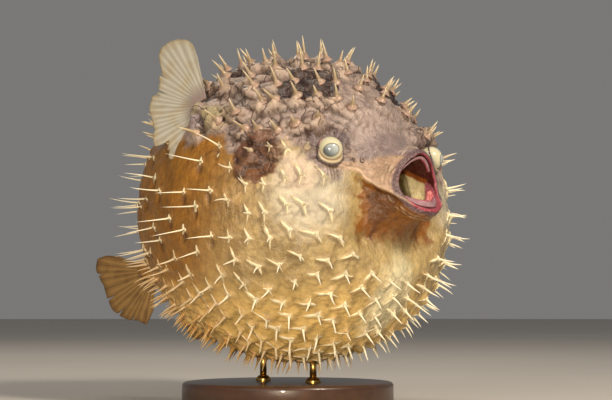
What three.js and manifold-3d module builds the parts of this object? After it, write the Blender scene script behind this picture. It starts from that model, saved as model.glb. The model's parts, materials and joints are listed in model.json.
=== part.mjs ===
// A dried, inflated porcupinefish on a plain display stand, at life size.
// Millimetres. +X runs from tail to nose, +Y to the fish's left, +Z up.
// The origin is the centre of the stand's underside; the fish is modelled about the
// centre of its ball-shaped body and lifted into place at the end.
import * as THREE from "three";
import { mergeVertices } from "three/addons/utils/BufferGeometryUtils.js";
import Module from "manifold-3d";

const wasm = await Module();
wasm.setup();

// ---------------------------------------------------------------- driving dimensions
const BALL_RADIUS = 111; // half the body's length and width, without snout and spines
const BACK_HEIGHT = 110; // of the back above the ball's centre
const BELLY_DEPTH = 104; // of the belly under it
const CENTRE_HEIGHT = 139; // of the ball's centre above the table
const CUT_GAP = 0.3; // between neighbouring pieces
const FINENESS = 0.12; // edges smaller than this are merged away

const MOUTH_TILT = 7; // degrees that the snout points up
const TAIL_TURN = 11; // degrees that the dried tail is bent to the fish's right
const TAIL_DROOP = 18.5; // degrees that its root sits below the level axis
const CAUDAL_DROOP = 33; // degrees that the tail fin hangs below level

const SNOUT_REACH = 132; // from the ball's centre to the front of the lips
const MOUTH_RADIUS = 18.5;
const LIP_RADIUS = 21;
const UPPER_JUT = 7; // how far the upper lip stands forward of the mouth's corners
const LOWER_JUT = 11; // and the lower lip
const CORNER_SETBACK = 3; // of the corners behind the snout's reach
const MOUTH_ROOF_POWER = 1.65; // under 2 is angular, over 2 is squarish
const MOUTH_FLOOR_POWER = 2.3;
const PEDUNCLE_REACH = 141;
const PEDUNCLE_RADIUS = 10;

const EYE = { turn: 29.5, rise: 19.4, radius: 8.7, sink: 5.9 };
const EYE_MOUND = { height: 4.5, spread: 15 };
const SHOULDER = { turn: 86.6, rise: 37, height: 11, spread: 12 };
const BROW = { rise: 31, height: 8, spread: 23 };
const NAPE = { rise: 62, height: 6, spread: 48 };
const CHEST = { rise: -38, height: 7, spread: 70 };
const CHEEK = { turn: 50, rise: 0, height: 6.5, spread: 74 };
const PAUNCH = { turn: 50, rise: -45, height: 6.5, spread: 74 };

const BEAK_DEPTH = 13;
const BEAK_THICKNESS = 3;
const FIN_THICKNESS = 1.2;
const SPINE_ROOT_RADIUS = 1.4;
const SPINE_ROWS = { first: 33, last: 158, gap: 12.5 }; // degrees, then mm apart
const SPINE_STEP = { cheek: 18, flank: 36, back: 25, belly: 13.5 }; // mm apart in a row
const SPINE_BURIED = 2;

const HEAD_BACK_X = 44; // the cut between head and back
const BELLY_TOP_Z = -26; // the cut between belly and the pieces above it
const TAIL_CUT = 105; // distance of the tail's cut from the centre
const LIP_CUT = 123;

const BASE_RADIUS = 78;
const BASE_THICKNESS = 14;
const ROD_RADIUS = 2.5;
const ROD_X = [-26, 26];

// ---------------------------------------------------------------- small maths
const DEG = Math.PI / 180;
const v3 = (x, y, z) => new THREE.Vector3(x, y, z);
const AXIS_X = v3(1, 0, 0);
const AXIS_Y = v3(0, 1, 0);

function smooth(low, high, value) {
  const t = Math.min(1, Math.max(0, (value - low) / (high - low)));
  return t * t * (3 - 2 * t);
}

// A direction from its turn away from the nose (towards side, 1 for the right) and its rise.
function direction(turn, rise, side = 1) {
  const flat = Math.cos(rise * DEG);
  return v3(flat * Math.cos(turn * DEG), -side * flat * Math.sin(turn * DEG), Math.sin(rise * DEG));
}

// The same number between 0 and 1 for the same row, place and purpose, in any language.
function chance(row, place, purpose) {
  const s = Math.sin(row * 12.9898 + place * 78.233 + purpose * 37.719) * 43758.5453;
  return s - Math.floor(s);
}

const MOUTH_AXIS = direction(0, MOUTH_TILT);
const TAIL_AXIS = direction(180 - TAIL_TURN, -TAIL_DROOP);
const TAIL_SWING_AXIS = v3(-1, 0, 0).cross(TAIL_AXIS).normalize();
const TAIL_SWING = Math.acos(-TAIL_AXIS.x);

// ---------------------------------------------------------------- solids
// A closed geometry as a manifold-3d solid; triangles that have shrunk to a line are dropped.
function solid(geometry) {
  const plain = geometry.index ? geometry.toNonIndexed() : geometry.clone();
  for (const name of Object.keys(plain.attributes)) {
    if (name !== "position") plain.deleteAttribute(name);
  }
  const merged = mergeVertices(plain, 1e-4);
  const kept = [];
  for (let i = 0; i < merged.index.count; i += 3) {
    const [a, b, c] = [0, 1, 2].map((k) => merged.index.getX(i + k));
    if (a !== b && b !== c && c !== a) kept.push(a, b, c);
  }
  const mesh = new wasm.Mesh({
    numProp: 3,
    vertProperties: new Float32Array(merged.attributes.position.array),
    triVerts: new Uint32Array(kept),
  });
  return new wasm.Manifold(mesh);
}

function geometryOf(body) {
  const mesh = body.simplify(FINENESS).getMesh();
  const geometry = new THREE.BufferGeometry();
  geometry.setAttribute("position", new THREE.BufferAttribute(mesh.vertProperties, 3));
  geometry.setIndex(new THREE.BufferAttribute(mesh.triVerts, 1));
  return geometry;
}

// Everything on the far side of the plane at distance reach along axis.
function beyond(axis, reach) {
  const size = 400;
  const box = new THREE.BoxGeometry(size, size, size).translate(size / 2 + reach, 0, 0);
  box.applyQuaternion(new THREE.Quaternion().setFromUnitVectors(AXIS_X, axis));
  return solid(box);
}

// ---------------------------------------------------------------- the body's form
// The half outline from the tail's end, round the ball, out to the lips and back into the gullet.
function bodyProfile(arcSteps) {
  const points = [
    [-PEDUNCLE_REACH, 0],
    [-PEDUNCLE_REACH, PEDUNCLE_RADIUS],
    [-127, PEDUNCLE_RADIUS + 0.5],
    [-118, PEDUNCLE_RADIUS + 3],
    [-112, 20],
  ];
  const first = 163;
  const last = 29;
  for (let i = 0; i <= arcSteps; i++) {
    const angle = (first + ((last - first) * i) / arcSteps) * DEG;
    points.push([BALL_RADIUS * Math.cos(angle), BALL_RADIUS * Math.sin(angle)]);
  }
  points.push([102, 45], [107, 37], [114, 30.5], [LIP_CUT, 26.5], [SNOUT_REACH - 4, LIP_RADIUS + 3.2]);
  points.push([SNOUT_REACH - 1, LIP_RADIUS + 1.4], [SNOUT_REACH, LIP_RADIUS]);
  points.push([SNOUT_REACH - 1.5, MOUTH_RADIUS]);
  points.push([112, MOUTH_RADIUS], [100, 26], [84, 30], [68, 24], [58, 0]);
  return points.map(([along, radius]) => new THREE.Vector2(radius, along));
}

// How far the skin in direction d is raised by eyes, shoulders, cheeks, paunch, brow, nape and chest.
function relief(d) {
  let rise = 0;
  const mound = (axis, height, spread) => {
    const arc = Math.acos(Math.min(1, d.dot(axis))) * BALL_RADIUS;
    rise += height * Math.exp(-((arc / spread) ** 2));
  };
  for (const side of [1, -1]) {
    mound(direction(EYE.turn, EYE.rise, side), EYE_MOUND.height, EYE_MOUND.spread);
    for (const form of [SHOULDER, CHEEK, PAUNCH]) {
      mound(direction(form.turn, form.rise, side), form.height, form.spread);
    }
  }
  for (const { rise: height, ...form } of [BROW, NAPE, CHEST]) {
    mound(direction(0, height), form.height, form.spread);
  }
  return rise;
}

// The back and the belly are not as high as the body is long.
function heightScale(z) {
  const middle = (BACK_HEIGHT + BELLY_DEPTH) / 2;
  const half = (BACK_HEIGHT - BELLY_DEPTH) / 2;
  return (middle + half * (2 * smooth(-60, 60, z) - 1)) / BALL_RADIUS;
}

// Turns the round end of the snout into lips: peaked above, square below, corners set back.
function shapeMouth(q, ring) {
  const share = smooth(95, 122, q.x);
  const up = q.z / ring;
  const out = Math.abs(q.y) / ring;
  const power = up > 0 ? MOUTH_ROOF_POWER : MOUTH_FLOOR_POWER;
  const jut = up > 0 ? UPPER_JUT : LOWER_JUT;
  const factor = (Math.abs(up) ** power + out ** power) ** (-1 / power);
  q.y *= 1 + (factor - 1) * share;
  q.z *= 1 + (factor - 1) * share;
  q.x += (jut * up * up - CORNER_SETBACK) * share;
}

// Takes a point of the turned form, about the X axis, to its place on the fish.
function place(p) {
  const ring = Math.hypot(p.y, p.z);
  const polar = Math.atan2(ring, p.x) / DEG;
  const q = p.clone();
  if (ring > 0) shapeMouth(q, ring);
  q.applyAxisAngle(AXIS_Y, -MOUTH_TILT * DEG * (1 - smooth(30, 75, polar)));
  q.applyAxisAngle(TAIL_SWING_AXIS, TAIL_SWING * smooth(105, 160, polar));
  const d = q.clone().normalize();
  const onBall = smooth(20, 32, polar) * (1 - smooth(158, 168, polar));
  q.addScaledVector(d, relief(d) * onBall);
  q.z *= 1 + (heightScale(q.z) - 1) * smooth(20, 45, polar);
  return q;
}

// Every vertex of a geometry about the X axis, taken to its place.
function bent(geometry) {
  const position = geometry.attributes.position;
  for (let i = 0; i < position.count; i++) {
    const moved = place(v3(0, 0, 0).fromBufferAttribute(position, i));
    position.setXYZ(i, moved.x, moved.y, moved.z);
  }
  return geometry;
}

function turnedBody(arcSteps, segments) {
  const lathe = new THREE.LatheGeometry(bodyProfile(arcSteps), segments);
  lathe.rotateZ(-Math.PI / 2); // the lathe's axis becomes +X
  return solid(bent(lathe));
}

// ---------------------------------------------------------------- spines
function onBall(polar, around) {
  const ring = BALL_RADIUS * Math.sin(polar);
  return place(v3(BALL_RADIUS * Math.cos(polar), ring * Math.sin(around), ring * Math.cos(around)));
}

// The skin right round the eyes and on the shoulders, behind the gills, has no spines.
function isBare(p) {
  const near = (turn, rise, reach) =>
    [1, -1].some((side) => direction(turn, rise, side).multiplyScalar(BALL_RADIUS).distanceTo(p) < reach);
  return near(EYE.turn, EYE.rise, 17) || near(SHOULDER.turn + 2, SHOULDER.rise, 22);
}

// 1 on the flank behind the pectoral fin, where spines are few, long and laid back.
function flankShare(p) {
  return smooth(-48, -18, p.z) * (1 - smooth(34, 52, p.z)) * (1 - smooth(30, 58, p.x));
}

function spineStep(p) {
  const belly = smooth(40, 72, -p.z);
  const back = smooth(34, 58, p.z);
  const cheek = SPINE_STEP.cheek + (SPINE_STEP.flank - SPINE_STEP.cheek) * flankShare(p);
  return cheek + (SPINE_STEP.belly - cheek) * belly + (SPINE_STEP.back - cheek) * back;
}

function spineLength(p) {
  const forehead = smooth(0.35, 0.7, p.x / BALL_RADIUS) * smooth(0.3, 0.6, p.z / BACK_HEIGHT);
  const back = smooth(30, 60, p.z);
  return 14 + 9 * flankShare(p) + 2.5 * back - 3 * forehead - 1.5 * smooth(50, 90, -p.z);
}

// The places round one row where spines stand, as angles from the top of the back.
function spinePlaces(row, polar) {
  const parts = 360;
  const passed = [0];
  for (let i = 0; i < parts; i++) {
    const around = ((i + 0.5) / parts) * 2 * Math.PI;
    const width = (2 * Math.PI * BALL_RADIUS * Math.sin(polar)) / parts;
    passed.push(passed[i] + width / spineStep(onBall(polar, around)));
  }
  const count = Math.round(passed[parts]);
  const places = [];
  for (let k = 0; k < count; k++) {
    const share = (k + 0.5 * (row % 2) + 0.3 * (chance(row, k, 1) - 0.5)) / count;
    const wanted = (((share % 1) + 1) % 1) * passed[parts];
    const i = Math.max(1, passed.findIndex((total) => total >= wanted));
    const within = (wanted - passed[i - 1]) / (passed[i] - passed[i - 1]);
    places.push(((i - 1 + within) / parts) * 2 * Math.PI);
  }
  return places;
}

// Root, direction and length of every spine, in staggered rows round the body.
function spines() {
  const found = [];
  const rowGap = SPINE_ROWS.gap / BALL_RADIUS;
  const rows = Math.ceil(((SPINE_ROWS.last - SPINE_ROWS.first) * DEG) / rowGap);
  for (let row = 0; row < rows; row++) {
    const polar = SPINE_ROWS.first * DEG + row * rowGap;
    for (const [k, around] of spinePlaces(row, polar).entries()) {
      const root = onBall(polar + 0.032 * (chance(row, k, 2) - 0.5), around);
      if (isBare(root)) continue;
      const length = spineLength(root) * (0.85 + 0.3 * chance(row, k, 5));
      found.push({ aim: spineAim(root, row, k), length, root: clearOfCuts(root) });
    }
  }
  return found;
}

// Most spines stand nearly straight out; those of the flank and the forehead lean back.
function spineAim(root, row, k) {
  const out = root.clone().normalize();
  const along = v3(-1, 0, 0).addScaledVector(out, out.x);
  const forehead = smooth(30, 70, root.x) * smooth(35, 60, root.z);
  const lean = 0.15 + 0.75 * flankShare(root) + 0.3 * forehead + 0.3 * (chance(row, k, 3) - 0.5);
  const sideways = v3(0, 0, 0).crossVectors(out, along).normalize();
  const aim = out.addScaledVector(along, lean).addScaledVector(sideways, 0.3 * (chance(row, k, 4) - 0.5));
  return aim.normalize();
}

// Moves a root that would straddle a cut between pieces to one side of it.
function clearOfCuts(root) {
  const margin = 2.6;
  const slide = (axis, reach) => {
    const off = root.dot(axis) - reach;
    if (Math.abs(off) < margin) root.addScaledVector(axis, (off < 0 ? -margin : margin) - off);
  };
  slide(v3(0, 0, 1), BELLY_TOP_Z);
  if (root.z > BELLY_TOP_Z) slide(AXIS_X, HEAD_BACK_X);
  slide(TAIL_AXIS, TAIL_CUT);
  return root;
}

// A three-sided needle, sunk a little into the skin.
function needle({ root, aim, length }) {
  const cone = new THREE.ConeGeometry(SPINE_ROOT_RADIUS, length + SPINE_BURIED, 3);
  cone.translate(0, (length + SPINE_BURIED) / 2 - SPINE_BURIED, 0);
  cone.applyQuaternion(new THREE.Quaternion().setFromUnitVectors(AXIS_Y, aim));
  return solid(cone.translate(root.x, root.y, root.z));
}

// ---------------------------------------------------------------- fins
// Each [angle, length] is one point of a fin's outer edge, in degrees and mm from the fan's point,
// and the edge runs from one to the next in so many steps.
const PECTORAL = {
  rootRadius: 10,
  steps: 1,
  edge: [
    [76.4, 36.5], [76, 44.3], [75.3, 48.4], [73.4, 52], [67.3, 55.6], [59.2, 57.5], [53, 57.2],
    [47.6, 55.1], [41.3, 47.3], [37.7, 43], [32, 42.7], [28, 40.3], [20, 38.6], [17.5, 38.2],
    [10.9, 41.5], [4.9, 41.5], [-1, 42.3], [-8, 41.2], [-17, 40.7], [-24.7, 41], [-26.5, 42.6],
    [-31, 45.2], [-38.5, 47], [-42, 37.5], [-49, 41], [-54.5, 46], [-57.5, 46], [-58, 37],
  ],
};
const CAUDAL = {
  rootRadius: 12,
  steps: 2,
  edge: [
    [50, 38], [47, 51], [42, 61], [35, 62], [20, 55],
    [-2, 54], [-20, 48], [-34, 43], [-44, 44], [-51, 31],
  ],
};
const DORSAL = {
  rise: 27,
  rootRadius: 12,
  steps: 2,
  edge: [[42, 28], [26, 38], [6, 41], [-14, 38], [-32, 30]],
};
const ANAL = {
  rise: -40,
  rootRadius: 12,
  steps: 2,
  edge: [[34, 27], [16, 34], [-4, 36], [-24, 32], [-40, 25]],
};

// A flat fan with its point at apex, its middle ray along outward and its upper rays towards up.
function fan({ rootRadius, steps, edge }, apex, outward, up) {
  const polarPoint = ([angle, length]) =>
    new THREE.Vector2(length * Math.cos(angle * DEG), length * Math.sin(angle * DEG));
  const rim = new THREE.SplineCurve(edge.map(polarPoint)).getPoints(steps * (edge.length - 1));
  const root = edge.map(([angle]) => polarPoint([angle, rootRadius])).reverse();
  const shape = new THREE.Shape([...rim, ...root]);
  const plate = new THREE.ExtrudeGeometry(shape, { depth: FIN_THICKNESS, bevelEnabled: false });
  plate.translate(0, 0, -FIN_THICKNESS / 2);
  const e1 = outward.clone().normalize();
  const e3 = v3(0, 0, 0).crossVectors(e1, up).normalize();
  const e2 = v3(0, 0, 0).crossVectors(e3, e1);
  const frame = new THREE.Matrix4().makeBasis(e1, e2, e3).setPosition(apex);
  return solid(plate.applyMatrix4(frame));
}

function pectoralFin(side) {
  const apex = direction(SHOULDER.turn, SHOULDER.rise, side).multiplyScalar(BALL_RADIUS + 1);
  apex.add(v3(2.4, 2.4 * side, 2.6));
  return fan(PECTORAL, apex, v3(-0.71, -0.7 * side, 0.02), v3(-0.14, 0.14 * side, 1));
}

function caudalFin() {
  const outward = direction(180 - TAIL_TURN, -CAUDAL_DROOP);
  const apex = TAIL_AXIS.clone().multiplyScalar(PEDUNCLE_REACH - CAUDAL.rootRadius + 2);
  return fan(CAUDAL, apex, outward, v3(0, 0, 1));
}

function medianFin(fin, tiltBack) {
  const root = direction(180, fin.rise).multiplyScalar(BALL_RADIUS);
  const outward = direction(180, fin.rise + tiltBack);
  const alongSkin = direction(0, 90 - fin.rise);
  return fan(fin, root.addScaledVector(outward, -4), outward, alongSkin);
}

// ---------------------------------------------------------------- beak and eyes
// One jaw's tooth plate: a curved strip just inside the lips, above (side 1) or below (side -1).
function beak(side) {
  const outer = MOUTH_RADIUS - CUT_GAP - 0.1;
  const half = 58 * DEG;
  const shape = new THREE.Shape();
  shape.absarc(0, 0, outer, -half, half, false);
  shape.absarc(0, 0, outer - BEAK_THICKNESS, half, -half, true);
  const settings = { depth: BEAK_DEPTH, bevelEnabled: false, curveSegments: 8 };
  const strip = new THREE.ExtrudeGeometry(shape, settings);
  strip.rotateY(Math.PI / 2); // its depth runs along +X and its middle is lowest
  if (side > 0) strip.rotateX(Math.PI);
  strip.translate(SNOUT_REACH - BEAK_DEPTH - 3, 0, 0);
  return solid(bent(strip));
}

function eyeCentre(side) {
  const d = direction(EYE.turn, EYE.rise, side);
  return d.multiplyScalar(BALL_RADIUS + relief(d) - EYE.sink);
}

function ball(radius, centre, around = 13) {
  const sphere = new THREE.SphereGeometry(radius, around, Math.round(around * 0.6));
  return solid(sphere.translate(centre.x, centre.y, centre.z));
}

// ---------------------------------------------------------------- the stand
const underside = -CENTRE_HEIGHT;
const baseTop = underside + BASE_THICKNESS;

function standBase() {
  const edge = 3;
  const profile = [
    [0, 0],
    [BASE_RADIUS - 1, 0],
    [BASE_RADIUS, 1],
    [BASE_RADIUS, BASE_THICKNESS - edge],
    [BASE_RADIUS - 0.9, BASE_THICKNESS - 0.9],
    [BASE_RADIUS - edge, BASE_THICKNESS],
    [0, BASE_THICKNESS],
  ];
  const lathe = new THREE.LatheGeometry(profile.map(([r, h]) => new THREE.Vector2(r, h)), 24);
  return solid(lathe.rotateX(Math.PI / 2).translate(0, 0, underside));
}

// A rod from the base up into the fish, before it is cut off under the skin.
function standRod(x) {
  const bottom = baseTop + CUT_GAP;
  const rod = new THREE.CylinderGeometry(ROD_RADIUS, ROD_RADIUS, -bottom, 12).rotateX(Math.PI / 2);
  return solid(rod.translate(x, 0, bottom / 2));
}

// ---------------------------------------------------------------- pieces
const body = turnedBody(13, 30);
const clearance = 1 + CUT_GAP / 100;
const grown = body.scale([clearance, clearance, clearance]);

// What stands on the skin ends a little clear of it; only its largest piece outside is kept.
function outside(piece) {
  const parts = piece.subtract(grown).decompose();
  return parts.sort((a, b) => b.volume() - a.volume())[0];
}

const pieces = {
  caudal_fin: outside(caudalFin()),
  dorsal_fin: outside(medianFin(DORSAL, 14)),
  anal_fin: outside(medianFin(ANAL, 8)),
  pectoral_fin_right: outside(pectoralFin(1)),
  pectoral_fin_left: outside(pectoralFin(-1)),
  eye_right: ball(EYE.radius, eyeCentre(1)),
  eye_left: ball(EYE.radius, eyeCentre(-1)),
  stand_rod_rear: outside(standRod(ROD_X[0])),
  stand_rod_front: outside(standRod(ROD_X[1])),
};

// No spine stands where it would run into a fin, an eye or a rod.
const obstacles = Object.values(pieces);
const needles = spines()
  .map((spine) => ({ ...spine, body: needle(spine) }))
  .filter((spine) => obstacles.every((o) => o.intersect(spine.body).isEmpty()));

function withSpines(part, belongs) {
  const own = needles.filter(({ root }) => belongs(root)).map((spine) => spine.body);
  return wasm.Manifold.union([part, ...own]);
}

const half = CUT_GAP / 2;
const UP = v3(0, 0, 1);
const flip = (axis) => axis.clone().negate();
const isTail = (p) => p.dot(TAIL_AXIS) > TAIL_CUT;
const isBelly = (p) => !isTail(p) && p.z < BELLY_TOP_Z;
const isHead = (p) => !isTail(p) && p.z >= BELLY_TOP_Z && p.x > HEAD_BACK_X;
const isBack = (p) => !isTail(p) && p.z >= BELLY_TOP_Z && p.x <= HEAD_BACK_X;

const trunk = body
  .intersect(beyond(flip(TAIL_AXIS), -TAIL_CUT + half))
  .intersect(beyond(flip(MOUTH_AXIS), -LIP_CUT + half));
const upper = trunk.intersect(beyond(UP, BELLY_TOP_Z + half));
pieces.lips = body.intersect(beyond(MOUTH_AXIS, LIP_CUT + half));
pieces.tail_base = withSpines(body.intersect(beyond(TAIL_AXIS, TAIL_CUT + half)), isTail);
pieces.belly = withSpines(trunk.intersect(beyond(flip(UP), -BELLY_TOP_Z + half)), isBelly);
pieces.back = withSpines(upper.intersect(beyond(flip(AXIS_X), -HEAD_BACK_X + half)), isBack);
pieces.head = withSpines(upper.intersect(beyond(AXIS_X, HEAD_BACK_X + half)), isHead);

for (const side of [1, -1]) {
  pieces.head = pieces.head.subtract(ball(EYE.radius + CUT_GAP, eyeCentre(side)));
}
pieces.beak_upper = beak(1);
pieces.beak_lower = beak(-1);
pieces.stand_base = standBase();

// ---------------------------------------------------------------- the scene graph
const COLOURS = {
  head: 0x9a8070,
  back: 0x8b7263,
  belly: 0xcfae6a,
  tail_base: 0xa8814a,
  lips: 0xa7727a,
  beak: 0xc9b2ae,
  eye: 0xe9e5c6,
  fin: 0xc9c2a0,
  stand_base: 0x3a2a20,
  stand_rod: 0xb08d4f,
};

function finish(name) {
  const key = Object.keys(COLOURS).find((k) => name.startsWith(k)) ?? "fin";
  const metalness = key === "stand_rod" ? 1 : 0;
  const roughness = key === "eye" || key === "stand_rod" ? 0.25 : 0.65;
  return new THREE.MeshStandardMaterial({ color: COLOURS[key], roughness, metalness });
}

const fish = new THREE.Group();
fish.position.set(0, 0, CENTRE_HEIGHT);
for (const [name, piece] of Object.entries(pieces)) {
  const mesh = new THREE.Mesh(geometryOf(piece), finish(name));
  mesh.name = name;
  fish.add(mesh);
}

const part = new THREE.Group();
part.add(fish);
export default part;
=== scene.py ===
# %% [markdown]
# A dried, inflated porcupinefish on a display stand
#
# The real thing is a fish that was blown up like a ball, dried and varnished, as museums and
# curio shops show it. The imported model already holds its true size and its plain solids. This
# lesson gives it its skin, spines, eyes, fins and stand. All lengths here are worked out in
# millimetres about the centre of the ball-shaped body, and one function turns them to metres.

import json
import math

import bmesh
import bpy
import numpy as np
from mathutils import Matrix, Vector, noise
from mathutils.bvhtree import BVHTree
from mathutils.kdtree import KDTree

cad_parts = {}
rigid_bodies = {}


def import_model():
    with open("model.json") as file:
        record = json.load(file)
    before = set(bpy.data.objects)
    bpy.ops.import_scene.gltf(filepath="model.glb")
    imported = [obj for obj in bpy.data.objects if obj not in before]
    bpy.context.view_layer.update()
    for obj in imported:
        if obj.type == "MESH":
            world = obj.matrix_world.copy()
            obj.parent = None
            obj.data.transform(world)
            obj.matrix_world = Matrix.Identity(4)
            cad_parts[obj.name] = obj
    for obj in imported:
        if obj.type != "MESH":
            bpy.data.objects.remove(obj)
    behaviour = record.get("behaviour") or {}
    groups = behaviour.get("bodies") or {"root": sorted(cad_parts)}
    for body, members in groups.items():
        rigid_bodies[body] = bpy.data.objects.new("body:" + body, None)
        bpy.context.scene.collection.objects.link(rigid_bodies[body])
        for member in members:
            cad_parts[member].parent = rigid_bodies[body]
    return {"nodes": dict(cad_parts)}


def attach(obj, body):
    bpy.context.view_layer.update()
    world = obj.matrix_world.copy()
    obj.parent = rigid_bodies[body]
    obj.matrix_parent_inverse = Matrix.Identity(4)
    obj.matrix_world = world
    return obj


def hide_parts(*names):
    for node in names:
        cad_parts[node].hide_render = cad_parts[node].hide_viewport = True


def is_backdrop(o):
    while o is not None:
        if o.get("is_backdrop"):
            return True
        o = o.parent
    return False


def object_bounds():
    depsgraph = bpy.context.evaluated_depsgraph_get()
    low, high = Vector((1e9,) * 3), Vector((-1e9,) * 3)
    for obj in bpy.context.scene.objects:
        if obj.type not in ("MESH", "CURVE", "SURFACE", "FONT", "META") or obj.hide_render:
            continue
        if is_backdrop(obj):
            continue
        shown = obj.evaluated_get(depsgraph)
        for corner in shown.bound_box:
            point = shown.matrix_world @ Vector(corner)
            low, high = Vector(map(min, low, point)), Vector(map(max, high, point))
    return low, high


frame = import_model()
cad_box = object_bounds()
print("solids:", ", ".join(sorted(frame["nodes"])))

# %% [markdown]
# The same sizes drive the solids and the looks, so they are repeated here by name. A turn is
# an angle away from the nose towards the fish's right, and a rise is an angle above the level.

# %% Sizes in millimetres and degrees
BALL_RADIUS = 111.0
BACK_HEIGHT = 110.0
BELLY_DEPTH = 104.0
CENTRE_HEIGHT = 139.0
MOUTH_TILT = 7.0
TAIL_TURN = 11.0
TAIL_DROOP = 18.5
CAUDAL_DROOP = 33.0
SNOUT_REACH = 132.0
MOUTH_RADIUS = 18.5
LIP_RADIUS = 21.0
UPPER_JUT = 7.0
LOWER_JUT = 11.0
CORNER_SETBACK = 3.0
MOUTH_ROOF_POWER = 1.65
MOUTH_FLOOR_POWER = 2.3
PEDUNCLE_REACH = 141.0
PEDUNCLE_RADIUS = 10.0
EYE = {"turn": 29.5, "rise": 19.4, "radius": 8.7, "sink": 5.9}
EYE_MOUND = {"height": 4.5, "spread": 15.0}
SHOULDER = {"turn": 86.6, "rise": 37.0, "height": 11.0, "spread": 12.0}
CHEEK = {"turn": 50.0, "rise": 0.0, "height": 6.5, "spread": 74.0}
PAUNCH = {"turn": 50.0, "rise": -45.0, "height": 6.5, "spread": 74.0}
MIDLINE_MOUNDS = [
    {"rise": 31.0, "height": 8.0, "spread": 23.0},  # brow
    {"rise": 62.0, "height": 6.0, "spread": 48.0},  # nape
    {"rise": -38.0, "height": 7.0, "spread": 70.0},  # chest
]
MM = 0.001
SIDES = {"right": 1, "left": -1}

# %% [markdown]
# A few small functions carry most of the shaping. `smooth` blends from 0 to 1 with no kink,
# `direction` aims from the ball's centre, and `chance` gives the same scatter on every run.

# %% Small maths
def smooth(low, high, value):
    t = np.clip((np.asarray(value, float) - low) / (high - low), 0.0, 1.0)
    return t * t * (3.0 - 2.0 * t)


def direction(turn, rise, side=1):
    flat = math.cos(math.radians(rise))
    t = math.radians(turn)
    return np.array([flat * math.cos(t), -side * flat * math.sin(t), math.sin(math.radians(rise))])


def chance(row, place_in_row, purpose):
    s = math.sin(row * 12.9898 + place_in_row * 78.233 + purpose * 37.719) * 43758.5453
    return s - math.floor(s)


def unit(v):
    v = np.asarray(v, float)
    return v / np.maximum(np.linalg.norm(v, axis=-1, keepdims=True), 1e-9)


def turned(points, axis, degrees):
    a = np.radians(degrees)[:, None]
    along = (points @ axis)[:, None] * axis
    return points * np.cos(a) + np.cross(axis, points) * np.sin(a) + along * (1 - np.cos(a))


TAIL_AXIS = direction(180 - TAIL_TURN, -TAIL_DROOP)
TAIL_SWING_AXIS = unit(np.cross([-1.0, 0.0, 0.0], TAIL_AXIS))
TAIL_SWING = math.degrees(math.acos(-TAIL_AXIS[0]))
print("the tail swings", round(TAIL_SWING, 1), "degrees out of line")


# %% [markdown]
# The camera stands a little over a metre from the fish, ahead and to its right, almost level
# and close to the table. A long lens keeps the ball round. It is set first, because every
# later choice of detail depends on how large a millimetre looks.

# %% Camera
CAMERA_AZIMUTH = 45.0
CAMERA_ELEVATION = -3.0
CAMERA_DISTANCE = 1.263
AIM_RIGHT, AIM_UP = 0.0134, 0.0093

towards_camera = Vector(direction(90 - CAMERA_AZIMUTH, CAMERA_ELEVATION))
centre = Vector((0, 0, CENTRE_HEIGHT * MM))
camera_data = bpy.data.cameras.new("camera")
camera_data.lens = 100
camera_data.sensor_width = 36
camera_data.clip_start = 0.05
camera = bpy.data.objects.new("camera", camera_data)
bpy.context.scene.collection.objects.link(camera)
camera.location = centre + towards_camera * CAMERA_DISTANCE
sideways = Vector((0, 0, 1)).cross(towards_camera).normalized()
aim = centre + sideways * AIM_RIGHT + towards_camera.cross(sideways) * AIM_UP
camera.rotation_euler = (aim - camera.location).to_track_quat("-Z", "Y").to_euler()
bpy.context.scene.camera = camera
print("camera height above the table:", round(camera.location.z * 1000), "mm")

# %% [markdown]
# Colours are written as the hex values a paint program shows, and one function turns them to
# the linear values that the shader needs. One more function adds a node with its settings and
# links, which is all that a procedural material takes: an input can be named or, where several
# share a name, numbered. On a Mix node 0 is the share and 6 and 7 are the two colours, and on a
# Map Range node 1 and 2 are the range that is read and 3 and 4 the range that is given. A
# texture's scale comes from the size in millimetres of what it draws.


# %% Colour and node helpers
def colour(hex_value):
    parts = [int(hex_value[i : i + 2], 16) / 255 for i in (1, 3, 5)]
    linear = [c / 12.92 if c <= 0.04045 else ((c + 0.055) / 1.055) ** 2.4 for c in parts]
    return (*linear, 1.0)


def add(tree, kind, settings=None, **inputs):
    """Adds a node; an input's underscores stand for spaces, and a socket value becomes a link."""
    node = tree.nodes.new(kind)
    for name, value in (settings or {}).items():
        setattr(node, name, value)
    for name, value in inputs.items():
        key = int(name[1:]) if name[0] == "i" and name[1:].isdigit() else name.replace("_", " ")
        socket = node.inputs[key]
        if isinstance(value, bpy.types.NodeSocket):
            tree.links.new(value, socket)
        else:
            socket.default_value = value
    return node


BLEND = {"data_type": "RGBA"}
EASED = {"interpolation_type": "SMOOTHSTEP"}
SCALE_AND_ADD = {"operation": "MULTIPLY_ADD"}


def per_metre(size):
    """A texture's scale, for features of this size in millimetres."""
    return 1 / (size * MM)


def new_material(name):
    material = bpy.data.materials.new(name)
    material.use_nodes = True
    tree = material.node_tree
    tree.nodes.clear()
    return material, tree


def finish_material(tree, **inputs):
    shader = add(tree, "ShaderNodeBsdfPrincipled", None, **inputs)
    output = add(tree, "ShaderNodeOutputMaterial")
    tree.links.new(shader.outputs["BSDF"], output.inputs["Surface"])
    return shader


# %% [markdown]
# A plain pale table and soft studio light keep attention on the specimen. The key light stands
# in front of the mouth and above it, so that spines throw short shadows back along the flank.
# A wide weak light from the flank opens those shadows, a narrow spotlight close above the
# table brightens the paunch from below, and one more lamp lights the back from behind.


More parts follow.
